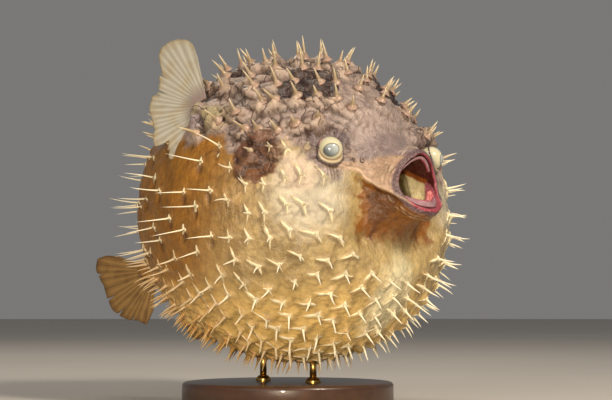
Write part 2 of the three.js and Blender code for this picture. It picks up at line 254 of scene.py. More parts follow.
# %% Table and lights
def studio_light(name, turn, rise, distance, width, power, tint, beam=None):
    """A round soft lamp, or with a beam in degrees a spotlight, all aimed at the fish."""
    data = bpy.data.lights.new(name, "SPOT" if beam else "AREA")
    if beam:
        data.spot_size, data.spot_blend = math.radians(beam), 0.4
        data.shadow_soft_size = width / 2
    else:
        data.shape = "DISK"
        data.size = width
    data.energy = power
    data.color = colour(tint)[:3]
    lamp = bpy.data.objects.new(name, data)
    bpy.context.scene.collection.objects.link(lamp)
    way = Vector(direction(turn, rise))
    lamp.location = centre + way * distance
    lamp.rotation_euler = (-way).to_track_quat("-Z", "Y").to_euler()
    return lamp


studio_light("key", turn=5, rise=38, distance=1.5, width=0.28, power=18, tint="#fff0dc")
studio_light("fill", turn=75, rise=25, distance=1.6, width=1.4, power=4.2, tint="#fff6ea")
studio_light("low", turn=50, rise=-2, distance=1.6, width=0.12, power=62, tint="#ffead0", beam=15)
studio_light("rear", turn=200, rise=50, distance=1.6, width=0.8, power=6, tint="#fff1de")

world = bpy.data.worlds.new("studio")
bpy.context.scene.world = world
world.use_nodes = True
world.node_tree.nodes["Background"].inputs["Color"].default_value = colour("#cfcdca")
world.node_tree.nodes["Background"].inputs["Strength"].default_value = 0.31
bpy.context.scene.view_settings.view_transform = "Standard"

table_mesh = bmesh.new()
bmesh.ops.create_circle(table_mesh, cap_ends=True, segments=64, radius=6.0)
table_data = bpy.data.meshes.new("table")
table_mesh.to_mesh(table_data)
table_mesh.free()
table = bpy.data.objects.new("table", table_data)
bpy.context.scene.collection.objects.link(table)
# Matt emulsion paint on board, rolled on: no gloss, and a hardly visible cloudiness.
table_paint, tree = new_material("matt_painted_board")
position = add(tree, "ShaderNodeTexCoord").outputs["Object"]
cloud = add(tree, "ShaderNodeTexNoise", None, Vector=position, Scale=per_metre(333.3), Detail=2.0)
shade = add(
    tree, "ShaderNodeMix", BLEND, i0=cloud.outputs["Fac"], i6=colour("#bfbbb5"), i7=colour("#cbc7c1")
)
finish_material(tree, Base_Color=shade.outputs[2], Roughness=0.8)
table_data.materials.append(table_paint)
table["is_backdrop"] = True


# %% [markdown]
# Making things: every piece is a bmesh shaped by operators, then its points are moved all at
# once with numpy, which is like sculpting with a formula. `make_piece` turns it into an object
# at the origin, with smooth shading, riding on the one body of this still model.


# %% Making pieces
def coordinates(mesh):
    co = np.zeros(len(mesh.vertices) * 3)
    mesh.vertices.foreach_get("co", co)
    return co.reshape(-1, 3)


def set_coordinates(mesh, points):
    mesh.vertices.foreach_set("co", np.ascontiguousarray(points, np.float32).ravel())
    mesh.update()


def to_metres(points):
    return np.asarray(points) * MM + np.array([0, 0, CENTRE_HEIGHT * MM])


def mesh_from(bm, name, shape=None):
    """Takes a bmesh in millimetres about the ball's centre, moves its points by shape, ends it."""
    mesh = bpy.data.meshes.new(name)
    bm.to_mesh(mesh)
    bm.free()
    points = coordinates(mesh)
    set_coordinates(mesh, points if shape is None else shape(points))
    return mesh


def full_turn(bm, axis, steps):
    """Spins an outline all the way round an axis through the middle."""
    outline = bm.verts[:] + bm.edges[:]
    angle = 2 * math.pi
    bmesh.ops.spin(
        bm, geom=outline, cent=(0, 0, 0), axis=axis, angle=angle, steps=steps, use_merge=True
    )


def make_piece(mesh, name, slot, *materials, replaces=()):
    set_coordinates(mesh, to_metres(coordinates(mesh)))
    mesh.shade_smooth()
    for material in materials:
        mesh.materials.append(material)
    piece = bpy.data.objects.new(name, mesh)
    bpy.context.scene.collection.objects.link(piece)
    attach(piece, "root")
    if replaces:
        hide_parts(*replaces)
    print(f"{name}: {len(mesh.vertices)} points, {len(mesh.polygons)} faces")
    return piece


def store(mesh, name, values):
    attribute = mesh.attributes.get(name) or mesh.attributes.new(name, "FLOAT", "POINT")
    attribute.data.foreach_set("value", np.ascontiguousarray(values, np.float32))


def normals_of(mesh):
    n = np.zeros(len(mesh.vertices) * 3)
    mesh.vertex_normals.foreach_get("vector", n)
    return n.reshape(-1, 3)


def lumps(points, size, seed, octaves=2):
    """Soft noise between about -1 and 1, with features of the given size in millimetres."""
    shift = Vector((seed * 13.7, seed * 7.1, seed * 3.3))
    return np.array(
        [noise.fractal(Vector(p) / size + shift, 1.0, 2.0, octaves) for p in points]
    )


# %% [markdown]
# The body starts as one outline from the tail, over the ball, out along the snout, round the
# lips and back into the gullet. Spun about the fish's length it makes one closed skin with no
# seam. The rings are close together where the face needs fine folds and further apart on the
# flanks, which keeps the whole skin under 200,000 triangles.


# %% The outline of the body
def body_outline():
    points = [(-PEDUNCLE_REACH, 0.0), (-PEDUNCLE_REACH, PEDUNCLE_RADIUS), (-127, 10.5), (-118, 13)]
    points.append((-112, 20))
    for angle in np.radians(np.linspace(163, 29, 68)):
        points.append((BALL_RADIUS * math.cos(angle), BALL_RADIUS * math.sin(angle)))
    points += [(102, 45), (107, 37), (114, 30.5), (123, 26.5), (128, 24.2), (131, 22.4)]
    points += [(SNOUT_REACH, LIP_RADIUS), (131.9, 20.0), (130.5, MOUTH_RADIUS), (124, 18.3)]
    points += [(112, 17.6), (107.5, 15.6), (104, 17.5), (98, 25), (84, 30), (68, 24), (58, 0)]
    return np.array(points)


def spacing(x, polar, inside):
    """How far apart neighbouring rings stand, in millimetres."""
    face = 2.5 - 1.0 * (1 - smooth(70, 84, polar))
    snout = face - 0.6 * smooth(96, 106, x)
    return np.where(inside, 2.4 - 1.5 * smooth(118, 130, x), snout)


def spread_along(outline):
    steps = np.linalg.norm(np.diff(outline, axis=0), axis=1)
    length = np.concatenate([[0], np.cumsum(steps)])
    fine = np.linspace(0, length[-1], 3000)
    x, ring = (np.interp(fine, length, outline[:, k]) for k in (0, 1))
    window = np.hanning(23) / np.hanning(23).sum()  # rounds the corners within about 2 mm
    rounded = [np.convolve(np.pad(v, 11, mode="edge"), window, "valid") for v in (x, ring)]
    ends = smooth(0, 3, np.minimum(fine, length[-1] - fine))
    x, ring = x + (rounded[0] - x) * ends, ring + (rounded[1] - ring) * ends
    lip_at = fine[np.argmax(x)]
    polar = np.degrees(np.arctan2(ring, x))
    density = 1 / spacing(x, polar, fine > lip_at)
    count = np.concatenate([[0], np.cumsum((density[1:] + density[:-1]) / 2 * np.diff(fine))])
    rings = int(count[-1])
    picked = np.interp(np.linspace(0, count[-1], rings), count, fine)
    found = [np.interp(picked, fine, v) for v in (x, ring)]
    found[1][[0, -1]] = 0.0
    return np.stack([*found, picked - lip_at], 1)


outline = spread_along(body_outline())
print("rings along the body:", len(outline), " past the lips:", int((outline[:, 2] > 0).sum()))


# %% [markdown]
# `take_to_place` then gives the spun form its life: the snout tips up and its round end is
# pulled into lips, the dried tail swings down and aside, and mounds raise the eyes, shoulders,
# cheeks, paunch, brow, nape and chest. The solids were shaped by the same steps, so skin and
# solids line up.


# %% From the spun form to the fish
def mound_height(d):
    total = np.zeros(len(d))
    places = []
    for side in SIDES.values():
        places.append((direction(EYE["turn"], EYE["rise"], side), EYE_MOUND))
        places += [(direction(m["turn"], m["rise"], side), m) for m in (SHOULDER, CHEEK, PAUNCH)]
    places += [(direction(0, m["rise"]), m) for m in MIDLINE_MOUNDS]
    for axis, mound in places:
        arc = np.arccos(np.clip(d @ axis, -1, 1)) * BALL_RADIUS
        total += mound["height"] * np.exp(-((arc / mound["spread"]) ** 2))
    return total


def take_to_place(points):
    p = np.array(points, float)
    ring = np.hypot(p[:, 1], p[:, 2])
    polar = np.degrees(np.arctan2(ring, p[:, 0]))
    share = smooth(95, 122, p[:, 0])
    up = p[:, 2] / np.maximum(ring, 1e-6)
    out = np.abs(p[:, 1]) / np.maximum(ring, 1e-6)
    power = np.where(up > 0, MOUTH_ROOF_POWER, MOUTH_FLOOR_POWER)
    jut = np.where(up > 0, UPPER_JUT, LOWER_JUT)
    factor = (np.abs(up) ** power + out**power + 1e-12) ** (-1 / power)
    factor = np.where(ring > 1e-6, factor, 1.0)
    p[:, 1:] *= (1 + (factor - 1) * share)[:, None]
    p[:, 0] += (jut * up * up - CORNER_SETBACK) * share
    p = turned(p, np.array([0.0, 1.0, 0.0]), -MOUTH_TILT * (1 - smooth(30, 75, polar)))
    p = turned(p, TAIL_SWING_AXIS, TAIL_SWING * smooth(105, 160, polar))
    d = unit(p)
    on_ball = smooth(20, 32, polar) * (1 - smooth(158, 168, polar))
    p += d * (mound_height(d) * on_ball)[:, None]
    middle, half = (BACK_HEIGHT + BELLY_DEPTH) / 2, (BACK_HEIGHT - BELLY_DEPTH) / 2
    scale = (middle + half * (2 * smooth(-60, 60, p[:, 2]) - 1)) / BALL_RADIUS
    p[:, 2] *= 1 + (scale - 1) * smooth(20, 45, polar)
    return p


# %% Spin the outline into a skin
SKIN_SEGMENTS = 396


def spun_skin():
    bm = bmesh.new()
    lip_distance = bm.verts.layers.float.new("lip_distance")
    previous = None
    for x, ring, distance in outline:
        v = bm.verts.new((x, 0, ring))
        v[lip_distance] = distance
        if previous:
            bm.edges.new((previous, v))
        previous = v
    full_turn(bm, (1, 0, 0), SKIN_SEGMENTS)
    bmesh.ops.remove_doubles(bm, verts=bm.verts, dist=1e-4)
    bmesh.ops.recalc_face_normals(bm, faces=bm.faces)
    return bm


skin_mesh = mesh_from(spun_skin(), "skin")
spun = coordinates(skin_mesh)
lip_distance = np.zeros(len(spun))
skin_mesh.attributes["lip_distance"].data.foreach_get("value", lip_distance)
body_points = take_to_place(spun)
set_coordinates(skin_mesh, body_points)
print("skin:", len(spun), "points, lip distance", lip_distance.min(), lip_distance.max())


# %% [markdown]
# The spines stand in staggered rows round the body. They are crowded under the belly, well
# apart on the back, and few, long and laid back on the flank behind the pectoral fin. Their
# places have to be known before the skin is finished, because the skin folds round each root.
# A scatter from `chance` keeps the rows from looking like machine work.

# %% Where the spines stand
SPINE_ROWS = {"first": 33.0, "last": 158.0, "gap": 12.5}
SPINE_STEP = {"cheek": 18.0, "flank": 36.0, "back": 25.0, "belly": 13.5}
HEAD_BACK_X = 44.0
BELLY_TOP_Z = -26.0
TAIL_CUT = 105.0
CUT_MARGIN = 2.6
ROW_PARTS = 360


def on_ball(polar, around):
    ring = BALL_RADIUS * math.sin(polar)
    along = np.full_like(around, BALL_RADIUS * math.cos(polar))
    return take_to_place(np.stack([along, ring * np.sin(around), ring * np.cos(around)], 1))


def is_bare(p):
    """No spines grow right round the eyes or on the shoulders, behind the gills."""
    places = [(EYE["turn"], EYE["rise"], 17), (SHOULDER["turn"] + 2, SHOULDER["rise"], 22)]
    return any(
        np.linalg.norm(direction(turn, rise, side) * BALL_RADIUS - p) < reach
        for turn, rise, reach in places
        for side in SIDES.values()
    )


def flank_share(p):
    """1 on the flank behind the pectoral fin."""
    x, _, z = p.T
    return smooth(-48, -18, z) * (1 - smooth(34, 52, z)) * (1 - smooth(30, 58, x))


def spine_step(p):
    belly, back = smooth(40, 72, -p[:, 2]), smooth(34, 58, p[:, 2])
    cheek = SPINE_STEP["cheek"] + (SPINE_STEP["flank"] - SPINE_STEP["cheek"]) * flank_share(p)
    return cheek + (SPINE_STEP["belly"] - cheek) * belly + (SPINE_STEP["back"] - cheek) * back


def spine_length(p):
    forehead = smooth(0.35, 0.7, p[:, 0] / BALL_RADIUS) * smooth(0.3, 0.6, p[:, 2] / BACK_HEIGHT)
    back, under = smooth(30, 60, p[:, 2]), smooth(50, 90, -p[:, 2])
    return 14 + 9 * flank_share(p) + 2.5 * back - 3 * forehead - 1.5 * under


def spine_aim(root, row, k):
    """Most spines stand nearly straight out; those of the flank and forehead lean back."""
    out = unit(root)
    along = np.array([-1.0, 0.0, 0.0]) + out * out[0]
    forehead = smooth(30, 70, root[0]) * smooth(35, 60, root[2])
    flank = float(flank_share(root[None])[0])
    lean = 0.15 + 0.75 * flank + 0.3 * forehead + 0.3 * (chance(row, k, 3) - 0.5)
    sideways = unit(np.cross(out, along))
    return unit(out + along * lean + sideways * 0.3 * (chance(row, k, 4) - 0.5))


def clear_of_cuts(root):
    """The solids are parted by thin cuts, and no root may straddle one."""
    root = np.array(root)

    def slide(axis, reach):
        off = root @ axis - reach
        if abs(off) < CUT_MARGIN:
            root[:] += axis * ((-CUT_MARGIN if off < 0 else CUT_MARGIN) - off)

    slide(np.array([0.0, 0.0, 1.0]), BELLY_TOP_Z)
    if root[2] > BELLY_TOP_Z:
        slide(np.array([1.0, 0.0, 0.0]), HEAD_BACK_X)
    slide(TAIL_AXIS, TAIL_CUT)
    return root


def spine_places(row, polar):
    """The places round one row where spines stand, as angles from the top of the back."""
    around = (np.arange(ROW_PARTS) + 0.5) / ROW_PARTS * 2 * math.pi
    width = 2 * math.pi * BALL_RADIUS * math.sin(polar) / ROW_PARTS
    passed = np.concatenate([[0], np.cumsum(width / spine_step(on_ball(polar, around)))])
    count = int(passed[-1] + 0.5)
    for k in range(count):
        share = (k + 0.5 * (row % 2) + 0.3 * (chance(row, k, 1) - 0.5)) / count
        wanted = (share % 1.0) * passed[-1]
        i = max(1, int(np.searchsorted(passed, wanted)))
        within = (wanted - passed[i - 1]) / (passed[i] - passed[i - 1])
        yield k, (i - 1 + within) / ROW_PARTS * 2 * math.pi


def all_spines():
    """Root, aim, length and place on the unwrap of every spine."""
    found = []
    row_gap = SPINE_ROWS["gap"] / BALL_RADIUS
    span = math.radians(SPINE_ROWS["last"] - SPINE_ROWS["first"])
    for row in range(math.ceil(span / row_gap)):
        polar = math.radians(SPINE_ROWS["first"]) + row * row_gap
        for k, around in spine_places(row, polar):
            at = polar + 0.032 * (chance(row, k, 2) - 0.5)
            root = on_ball(at, np.array([around]))[0]
            if is_bare(root):
                continue
            length = float(spine_length(root[None])[0]) * (0.85 + 0.3 * chance(row, k, 5))
            unwrap = (around / (2 * math.pi), at / math.pi)
            found.append((clear_of_cuts(root), spine_aim(root, row, k), length, unwrap))
    return found


# %% Keep the spines that the solids have
def solid_corners(*names):
    return np.concatenate([coordinates(frame["nodes"][n].data) for n in names])


def tree_of(points):
    tree = KDTree(len(points))
    for i, point in enumerate(points):
        tree.insert(point, i)
    tree.balance()
    return tree


planned = all_spines()
corners = tree_of(solid_corners("head", "back", "belly", "tail_base"))
planned_tips = to_metres([root + aim * length for root, aim, length, _ in planned])
spines = [s for s, tip in zip(planned, planned_tips) if corners.find(tip)[2] < 0.6 * MM]
roots, aims, lengths, unwraps = (np.array([s[k] for s in spines]) for k in range(4))
print("spines planned:", len(planned), " kept:", len(spines))


# %% [markdown]
# Skin marks are told as fields: for each point of the skin, how far it lies inside the dark
# back, a blotch, the muzzle or the chin. The same fields later tint the spines, so that coat
# and skin always agree. They are worked out from places on the fish, never painted by hand.

# %% Fields over the body
BACK_EDGE_TURN = [0, 12, 20, 30, 38, 46, 54, 62, 72, 84, 100, 140, 180]
BACK_EDGE_RISE = [14, 16, 13, 8, 15, 24, 14, 15, 24, 24, 25, 22, 18]
MUZZLE_FOLD_X = [92, 98, 104, 108, 115, 122, 128, 136]
MUZZLE_FOLD_Z = [29, 26, 23, 17, 12, 9, 5, 0]


def ellipse(p, x, y, z, rx, ry, rz):
    """Over 0 inside an ellipsoid that is mirrored on both sides, in shares of its size."""
    off = np.stack([(p[:, 0] - x) / rx, (np.abs(p[:, 1]) - y) / ry, (p[:, 2] - z) / rz])
    return 1 - np.sqrt((off**2).sum(0))


def eye_at(side):
    way = direction(EYE["turn"], EYE["rise"], side)
    return way * (BALL_RADIUS + mound_height(way[None])[0] - EYE["sink"])


def body_fields(p):
    d = unit(p)
    turn = np.degrees(np.arctan2(np.abs(p[:, 1]), p[:, 0]))
    rise = np.degrees(np.arcsin(np.clip(d[:, 2], -1, 1)))
    fold = np.interp(p[:, 0], MUZZLE_FOLD_X, MUZZLE_FOLD_Z)
    ragged = 6 * lumps(p, 20, 21) * smooth(48, 70, turn)
    nape = 1 - np.hypot((turn - 34) / 17, (rise - 49) / 10) + 0.35 * lumps(p, 15, 22)
    fin_root = ellipse(p, -84, 0, 66, 24, 26, 30)
    saddle = ellipse(p, -30, 0, 112, 17, 30, 30)
    muzzle = smooth(92, 102, p[:, 0]) * smooth(-2, 1.5, p[:, 2] - fold)
    snout_edge = np.interp(p[:, 0], [98, 112, 135], [31, 36, 37])
    muzzle *= 1 - smooth(-4, 2, p[:, 2] - snout_edge)
    # The chin's brown is partly its own colour and partly painted shadow cast by the muzzle.
    chin_brown_and_shadow = smooth(98, 105, p[:, 0]) * (1 - smooth(-2, 1.5, p[:, 2] - fold))
    chin_turn = turn + 5 * lumps(p, 9, 17)
    chin_brown_and_shadow *= smooth(-37, -13, p[:, 2]) * (1 - smooth(15, 25, chin_turn))
    sag = -20 - p[:, 2]
    mirrored = np.abs(p) * [0, 1, 0] + p * [1, 0, 1]
    off_eye = mirrored - eye_at(-1)
    return {
        "back": rise - np.interp(turn, BACK_EDGE_TURN, BACK_EDGE_RISE) + ragged,
        "blotch": np.maximum.reduce([nape, fin_root, saddle]),
        "muzzle": muzzle,
        "snout_top": smooth(96, 104, p[:, 0]) * smooth(-5, 1, p[:, 2] - snout_edge),
        "chin_brown_and_shadow": chin_brown_and_shadow,
        "chin_streak": chin_brown_and_shadow * (1 - smooth(1.2, 3.2, np.abs(chin_turn - 12.5))),
        "rear": 1 - smooth(-24, 110, p[:, 0] + np.where(sag > 0, 0.5, 0.25) * sag),
        "under": 1 - smooth(-95, -20, p[:, 2]),
        # The cheek and chest patches are painted light, brighter where they face the key light.
        "painted_light_cheek": ellipse(p, 88, 69, 8, 34, 34, 38),
        "painted_light_chest": ellipse(p, 92, 0, -60, 36, 27, 44),
        "purple": ellipse(p, 60, 87, 30, 17, 26, 22),
        "lilac": ellipse(p, 8, 99, 59, 7, 9, 8),
        "olive": ellipse(p, 20, 92, 62, 17, 17, 16),
        "rosy": np.maximum(ellipse(p, 84, 72, 22, 18, 20, 18), ellipse(p, 66, 75, 46, 20, 20, 20)),
        "eye_ring": np.linalg.norm(off_eye, axis=1),
        "eye_above": off_eye @ unit(np.array([-0.45, 0.0, 0.9])),
        "fold": p[:, 2] - fold,
        "turn": turn,
        "rise": rise,
        "mirrored": mirrored,
    }


# %% [markdown]
# Relief is where a dried skin gets its look. On the back it shrank into overlapping lobes,
# each one hanging from the spine that pinned it, with a step under its lower edge that is
# darkened with painted shade. Each lobe is modelled as a tilted disc, and the highest disc
# shows, exactly as roof tiles do. The belly has the same lobes in small, the rear flank has
# slits beside the roots where the skin tore away from the spines, and round the eye the skin
# sinks into a wrinkled cup.


# %% Lobes and roots
def bump(value, width):
    return np.exp(-((value / width) ** 2))


def ridged(points, size, seed):
    """Sharp creases between soft swellings."""
    return 1 - 2 * np.abs(lumps(points, size, seed, 3))


# noise_vector starts from the clock unless it is seeded, and would fray differently each run.
noise.seed_set(7)


def shaken(points, size, amount):
    """The same points pushed about softly, which frays every straight edge laid over them."""
    shift = np.array([noise.noise_vector(Vector(p) / size) for p in points])
    return points + shift * amount


def tangents(p):
    """For points on the skin: towards the tail, and up the flank, the same on both sides."""
    out = unit(p)
    back_way = unit(np.array([-1.0, 0.0, 0.0]) + out * out[:, :1])
    up_way = np.cross(back_way, out) * np.where(p[:, 1] > 0, -1.0, 1.0)[:, None]
    return back_way, up_way


LOBE_FLOOR = -2.2
ROOT_ARMS = [
    # angle from the way to the tail, reach, thickness
    (45.0, 10.5, 1.15),
    (-92.0, 8.5, 0.85),
    (180.0, 3.2, 0.6),
]


def hanging_lobes(points, centres, hang, radius, tilt, lift):
    """The relief of overlapping tilted discs, and the painted shade under each lower edge."""
    tree = tree_of(centres)
    found = np.array([[hit[1] for hit in tree.find_n(p, 6)] for p in points])
    off = points[:, None, :] - centres[found]
    along = (off * hang[found]).sum(2)
    reach = radius[found]
    distance = np.linalg.norm(off, axis=2)
    top = tilt[found] * along + lift[found]
    cover = 1 - smooth(-0.3, 0.7, distance - reach)
    height = (LOBE_FLOOR + (top - LOBE_FLOOR) * cover).max(1)
    rim = bump(distance - reach - 1.0, 1.0) * smooth(0.0, 0.45, along / reach)
    return height, (rim * smooth(0.2, 1.6, top - height[:, None])).max(1)


root_fields = body_fields(roots)
root_dorsal = smooth(-3, 9, root_fields["back"])
root_back_way, root_up_way = tangents(roots)
nearest_roots = tree_of(roots)
found = np.array([[hit[1] for hit in nearest_roots.find_n(p, 4)] for p in body_points])
off_root = body_points[:, None, :] - roots[found]
behind = (off_root * root_back_way[found]).sum(2)
below = -(off_root * root_up_way[found]).sum(2)
away = np.linalg.norm(off_root, axis=2)
fields = body_fields(body_points)
print("nearest root", round(away[:, 0].min(), 2), "mm; furthest", round(away[:, 0].max(), 1))

# %% Lobes of the back and of the belly
scatter = np.array([[chance(i, 3, k) - 0.5 for k in (6, 7, 8)] for i in range(len(roots))])
spread = np.sqrt(spine_step(roots) * SPINE_ROWS["gap"])
hang = unit(-root_up_way - root_back_way * (0.25 + 0.9 * scatter[:, :1]))
lobe_radius = spread * (0.66 + 0.2 * scatter[:, 1])
lobe_centres = roots - hang * (0.42 * lobe_radius)[:, None]
frayed_points = shaken(body_points, 9.0, 3.4)
lobes, lobe_shade = hanging_lobes(
    frayed_points,
    lobe_centres,
    hang,
    lobe_radius,
    np.full(len(roots), 0.3),
    1.2 * scatter[:, 2],
)
print("lobes from", round(lobes.min(), 1), "to", round(lobes.max(), 1), "mm")

# %% Skin drawn up along the root arms
root_twist = 0.5 * scatter[:, 0] + np.radians(1.1 * (root_fields["turn"] - 45)).clip(-0.5, 0.4)
arm_stretch = (0.95 + 0.4 * scatter[:, 1]) * (1 - 0.55 * root_dorsal)
arm_ridge = np.zeros(len(body_points))
arm_shade = np.zeros(len(body_points))
for angle, reach, _ in ROOT_ARMS:
    way = math.radians(angle) + root_twist[found]
    along_arm = behind * np.cos(way) - below * np.sin(way)
    aside = behind * np.sin(way) + below * np.cos(way)
    far = reach * arm_stretch[found]
    on_this_arm = smooth(-1, 1, along_arm) * (1 - smooth(0.6, 1.15, along_arm / far))
    arm_ridge = np.maximum(arm_ridge, (bump(aside, 1.5) * on_this_arm).max(1))
    arm_shade = np.maximum(arm_shade, (bump(np.abs(aside) - 2.6, 1.0) * on_this_arm).max(1))

# %% Shares of the skin's regions
body_x, _, body_z = body_points.T
outside = 1 - smooth(-1.5, 0.5, lip_distance)
on_ball_part = 1 - smooth(100, 108, spun[:, 0])
dorsal = np.maximum(smooth(-3, 9, fields["back"]), 0.8 * smooth(0, 0.3, fields["purple"]))
dorsal *= on_ball_part
forehead = (1 - smooth(16, 27, fields["turn"])) * smooth(18, 26, fields["rise"])
forehead *= 1 - smooth(48, 58, fields["rise"])
flank = flank_share(body_points)
rear = fields["rear"] * (1 - dorsal)
under = fields["under"] * (1 - dorsal)
cheek = smooth(30, 70, body_x) * (1 - dorsal) * (1 - under) * on_ball_part
eye_ring = fields["eye_ring"]
clear_cup = smooth(14, 20, eye_ring)
print("back:", int((dorsal > 0.5).sum()), "points; flank:", int((flank > 0.5).sum()), "points")

# %% Relief of the back, belly and flank
# Heights are in millimetres. The tent is the skin drawn up round each root.
lobe_share = 0.95 * dorsal * (1 - 0.8 * forehead) + 0.26 * under + 0.1 * cheek
tent = np.exp(-away[:, 0] / 2.9) * 5.4 * dorsal * (1 - 0.4 * forehead)
tent += np.exp(-away[:, 0] / 2.4) * (1.2 + 2.2 * under) * (1 - dorsal)
arm_lift = (1.1 * arm_ridge - 0.5 * arm_shade) * (1 - dorsal) * (1 - 0.7 * flank)
pit = (bump(behind - 1.0, 1.5) * bump(below - 5.0, 4.2)).max(1) * (1 - dorsal)
sheath = (bump(below, 1.8) * smooth(-2, 1, behind) * (1 - smooth(4, 12, behind))).max(1)
patch = smooth(2.5, 11, away[:, 0])
relief = lobes * lobe_share + tent + arm_lift + 1.3 * sheath * flank + patch * rear
relief -= 2.6 * pit * (0.3 * rear + 0.9 * flank)

# Slow swellings, then seams and ridges on the leathery back, and upright ripples on the flank.
relief += lumps(body_points, 27, 1) * 1.6 * on_ball_part
relief += lumps(body_points, 10, 2) * (0.35 + 0.5 * dorsal * (1 - 0.7 * forehead)) * on_ball_part
seams = bump(lumps(frayed_points, 10, 3), 0.09) * dorsal * (1 - 0.5 * forehead) * clear_cup
creeps = bump(lumps(frayed_points, 13, 16), 0.07) * (1 - dorsal) * on_ball_part
relief += ridged(frayed_points, 7, 19) * 0.35 * dorsal * (1 - 0.7 * forehead)
relief -= 1.3 * seams + 0.12 * creeps * (1 - 0.6 * flank)
relief += lumps(body_points * [1, 1, 0.22], 3.4, 4) * 0.5 * rear
relief -= 0.8  # keeps the whole skin just inside the solids' outline

# %% Relief of the eye's cup
EYE_CUP = {"radius": 11.5, "width": 4.6, "depth": 4.0, "wrinkles": 25}

mirrored = fields["mirrored"]
eye_axis = direction(EYE["turn"], EYE["rise"], -1)
cup_across = unit(np.cross([0.0, 0.0, 1.0], eye_axis))
cup_up = np.cross(eye_axis, cup_across)
off_eye = mirrored - eye_at(-1)
aside_of_eye = off_eye @ cup_across
eye_angle = np.arctan2(off_eye @ cup_up, aside_of_eye)
above_eye = fields["eye_above"]
relief -= EYE_CUP["depth"] * bump(eye_ring - EYE_CUP["radius"], EYE_CUP["width"])
relief -= 3.0 * (1 - smooth(6.5, 10, eye_ring))
shaken_angle = eye_angle * EYE_CUP["wrinkles"] + 2.6 * lumps(body_points, 6, 5)
rays = np.sin(shaken_angle + 0.3 * eye_ring)
cup_wrinkle = bump(eye_ring - 15.5, 4.5) * (0.4 + 0.6 * smooth(-6, 6, above_eye))
relief += 0.95 * rays * cup_wrinkle + 2.6 * bump(eye_ring - 21.5, 2.6) * smooth(2, 14, above_eye)

# Below the eye the skin has a trench with drips of dried glue under it, and folds beside it.
below_eye = smooth(4, 11, -above_eye) * bump(aside_of_eye + 1.0, 8.0)
trench = bump(eye_ring - 13.8, 1.3) * below_eye
drips = smooth(0.1, 0.9, np.sin(aside_of_eye * 2.1 + 1.5 * lumps(body_points, 5, 15)))
drips *= below_eye * smooth(13, 15, eye_ring) * (1 - smooth(19, 26, eye_ring))
relief -= 1.5 * trench + 0.9 * drips
crumple = smooth(0.0, 0.3, ellipse(mirrored, 97, 42, 35, 11, 12, 11)) * smooth(9.5, 12, eye_ring)
crumple_lines = bump(lumps(frayed_points, 4.5, 23), 0.2) * crumple
relief += (0.9 - 2.0 * crumple_lines) * crumple
print("points in the folds beside the eyes:", int((crumple_lines > 0.5).sum()))

# %% Relief of the shoulder, with the gill's flap and slit
gill_flap = smooth(0.0, 0.5, ellipse(mirrored, 17, 91, 64, 9, 14, 11))
gill_slit = bump(mirrored[:, 0] - 27, 1.5) * bump(body_z - 65, 8) * smooth(70, 80, mirrored[:, 1])
gill_hollow = smooth(0.0, 0.6, ellipse(mirrored, 14, 95, 53, 9, 12, 5))
fin_lobe = smooth(0.0, 0.6, ellipse(mirrored, 4, 97, 70, 7, 14, 12))
relief += 2.8 * gill_flap + 2.2 * fin_lobe - 3.0 * gill_slit - 3.0 * gill_hollow
relief += 2.4 * smooth(0.0, 0.7, fields["lilac"])
print("points in the gill slits:", int((gill_slit > 0.5).sum()))

# %% Relief of the muzzle, lips and mouth
fold = fields["fold"]
below_fold = 1 - smooth(-3.5, 0.8, fold)
chin_zone = smooth(99, 107, body_x) * (1 - smooth(16, 24, fields["turn"]))
chin_zone *= smooth(-34, -20, body_z) * outside
relief -= 4.5 * below_fold * chin_zone * (1 - smooth(124, 133, body_x))
relief += 1.6 * bump(fold - 1.0, 2.0) * smooth(95, 103, body_x) * outside
relief += lumps(body_points, 6, 10) * 0.7 * chin_zone * below_fold
gather = smooth(-17, -10, lip_distance) * (1 - smooth(-6.5, -4.5, lip_distance)) * outside
folds = np.sin(lip_distance * 1.9 + 2.6 * lumps(body_points, 9, 6)) * 0.85
folds *= (0.6 + 1.1 * lumps(body_points, 8, 18)).clip(0, 1.3)
relief += folds * gather
lip_band = smooth(-7, -4.5, lip_distance) * (1 - smooth(-0.8, 0.6, lip_distance))
around_mouth = np.arctan2(spun[:, 1], spun[:, 2])
along_lips = [np.sin(around_mouth) * 60, np.cos(around_mouth) * 60, lip_distance]
crack = ridged(np.stack(along_lips, 1), 4, 7)
relief += (0.8 * crack - 0.4) * lip_band
in_mouth = smooth(0.5, 3, lip_distance) * (1 - smooth(90, 96, lip_distance))
relief += lumps(body_points, 7, 8) * 0.9 * in_mouth

skin_points = body_points + normals_of(skin_mesh) * relief[:, None]
set_coordinates(skin_mesh, skin_points)
print("relief from", round(relief.min(), 1), "to", round(relief.max(), 1), "mm")

# %% Shares of painted shade in the creases and of painted highlight on the peaks
snout_zone = smooth(97, 104, body_x) * outside
grooves = ridged(body_points * [0.14, 1.0, 1.0], 3.6, 20)
brow_shade = 0.8 * bump(eye_ring - 18.4, 1.6) * smooth(2, 14, above_eye)
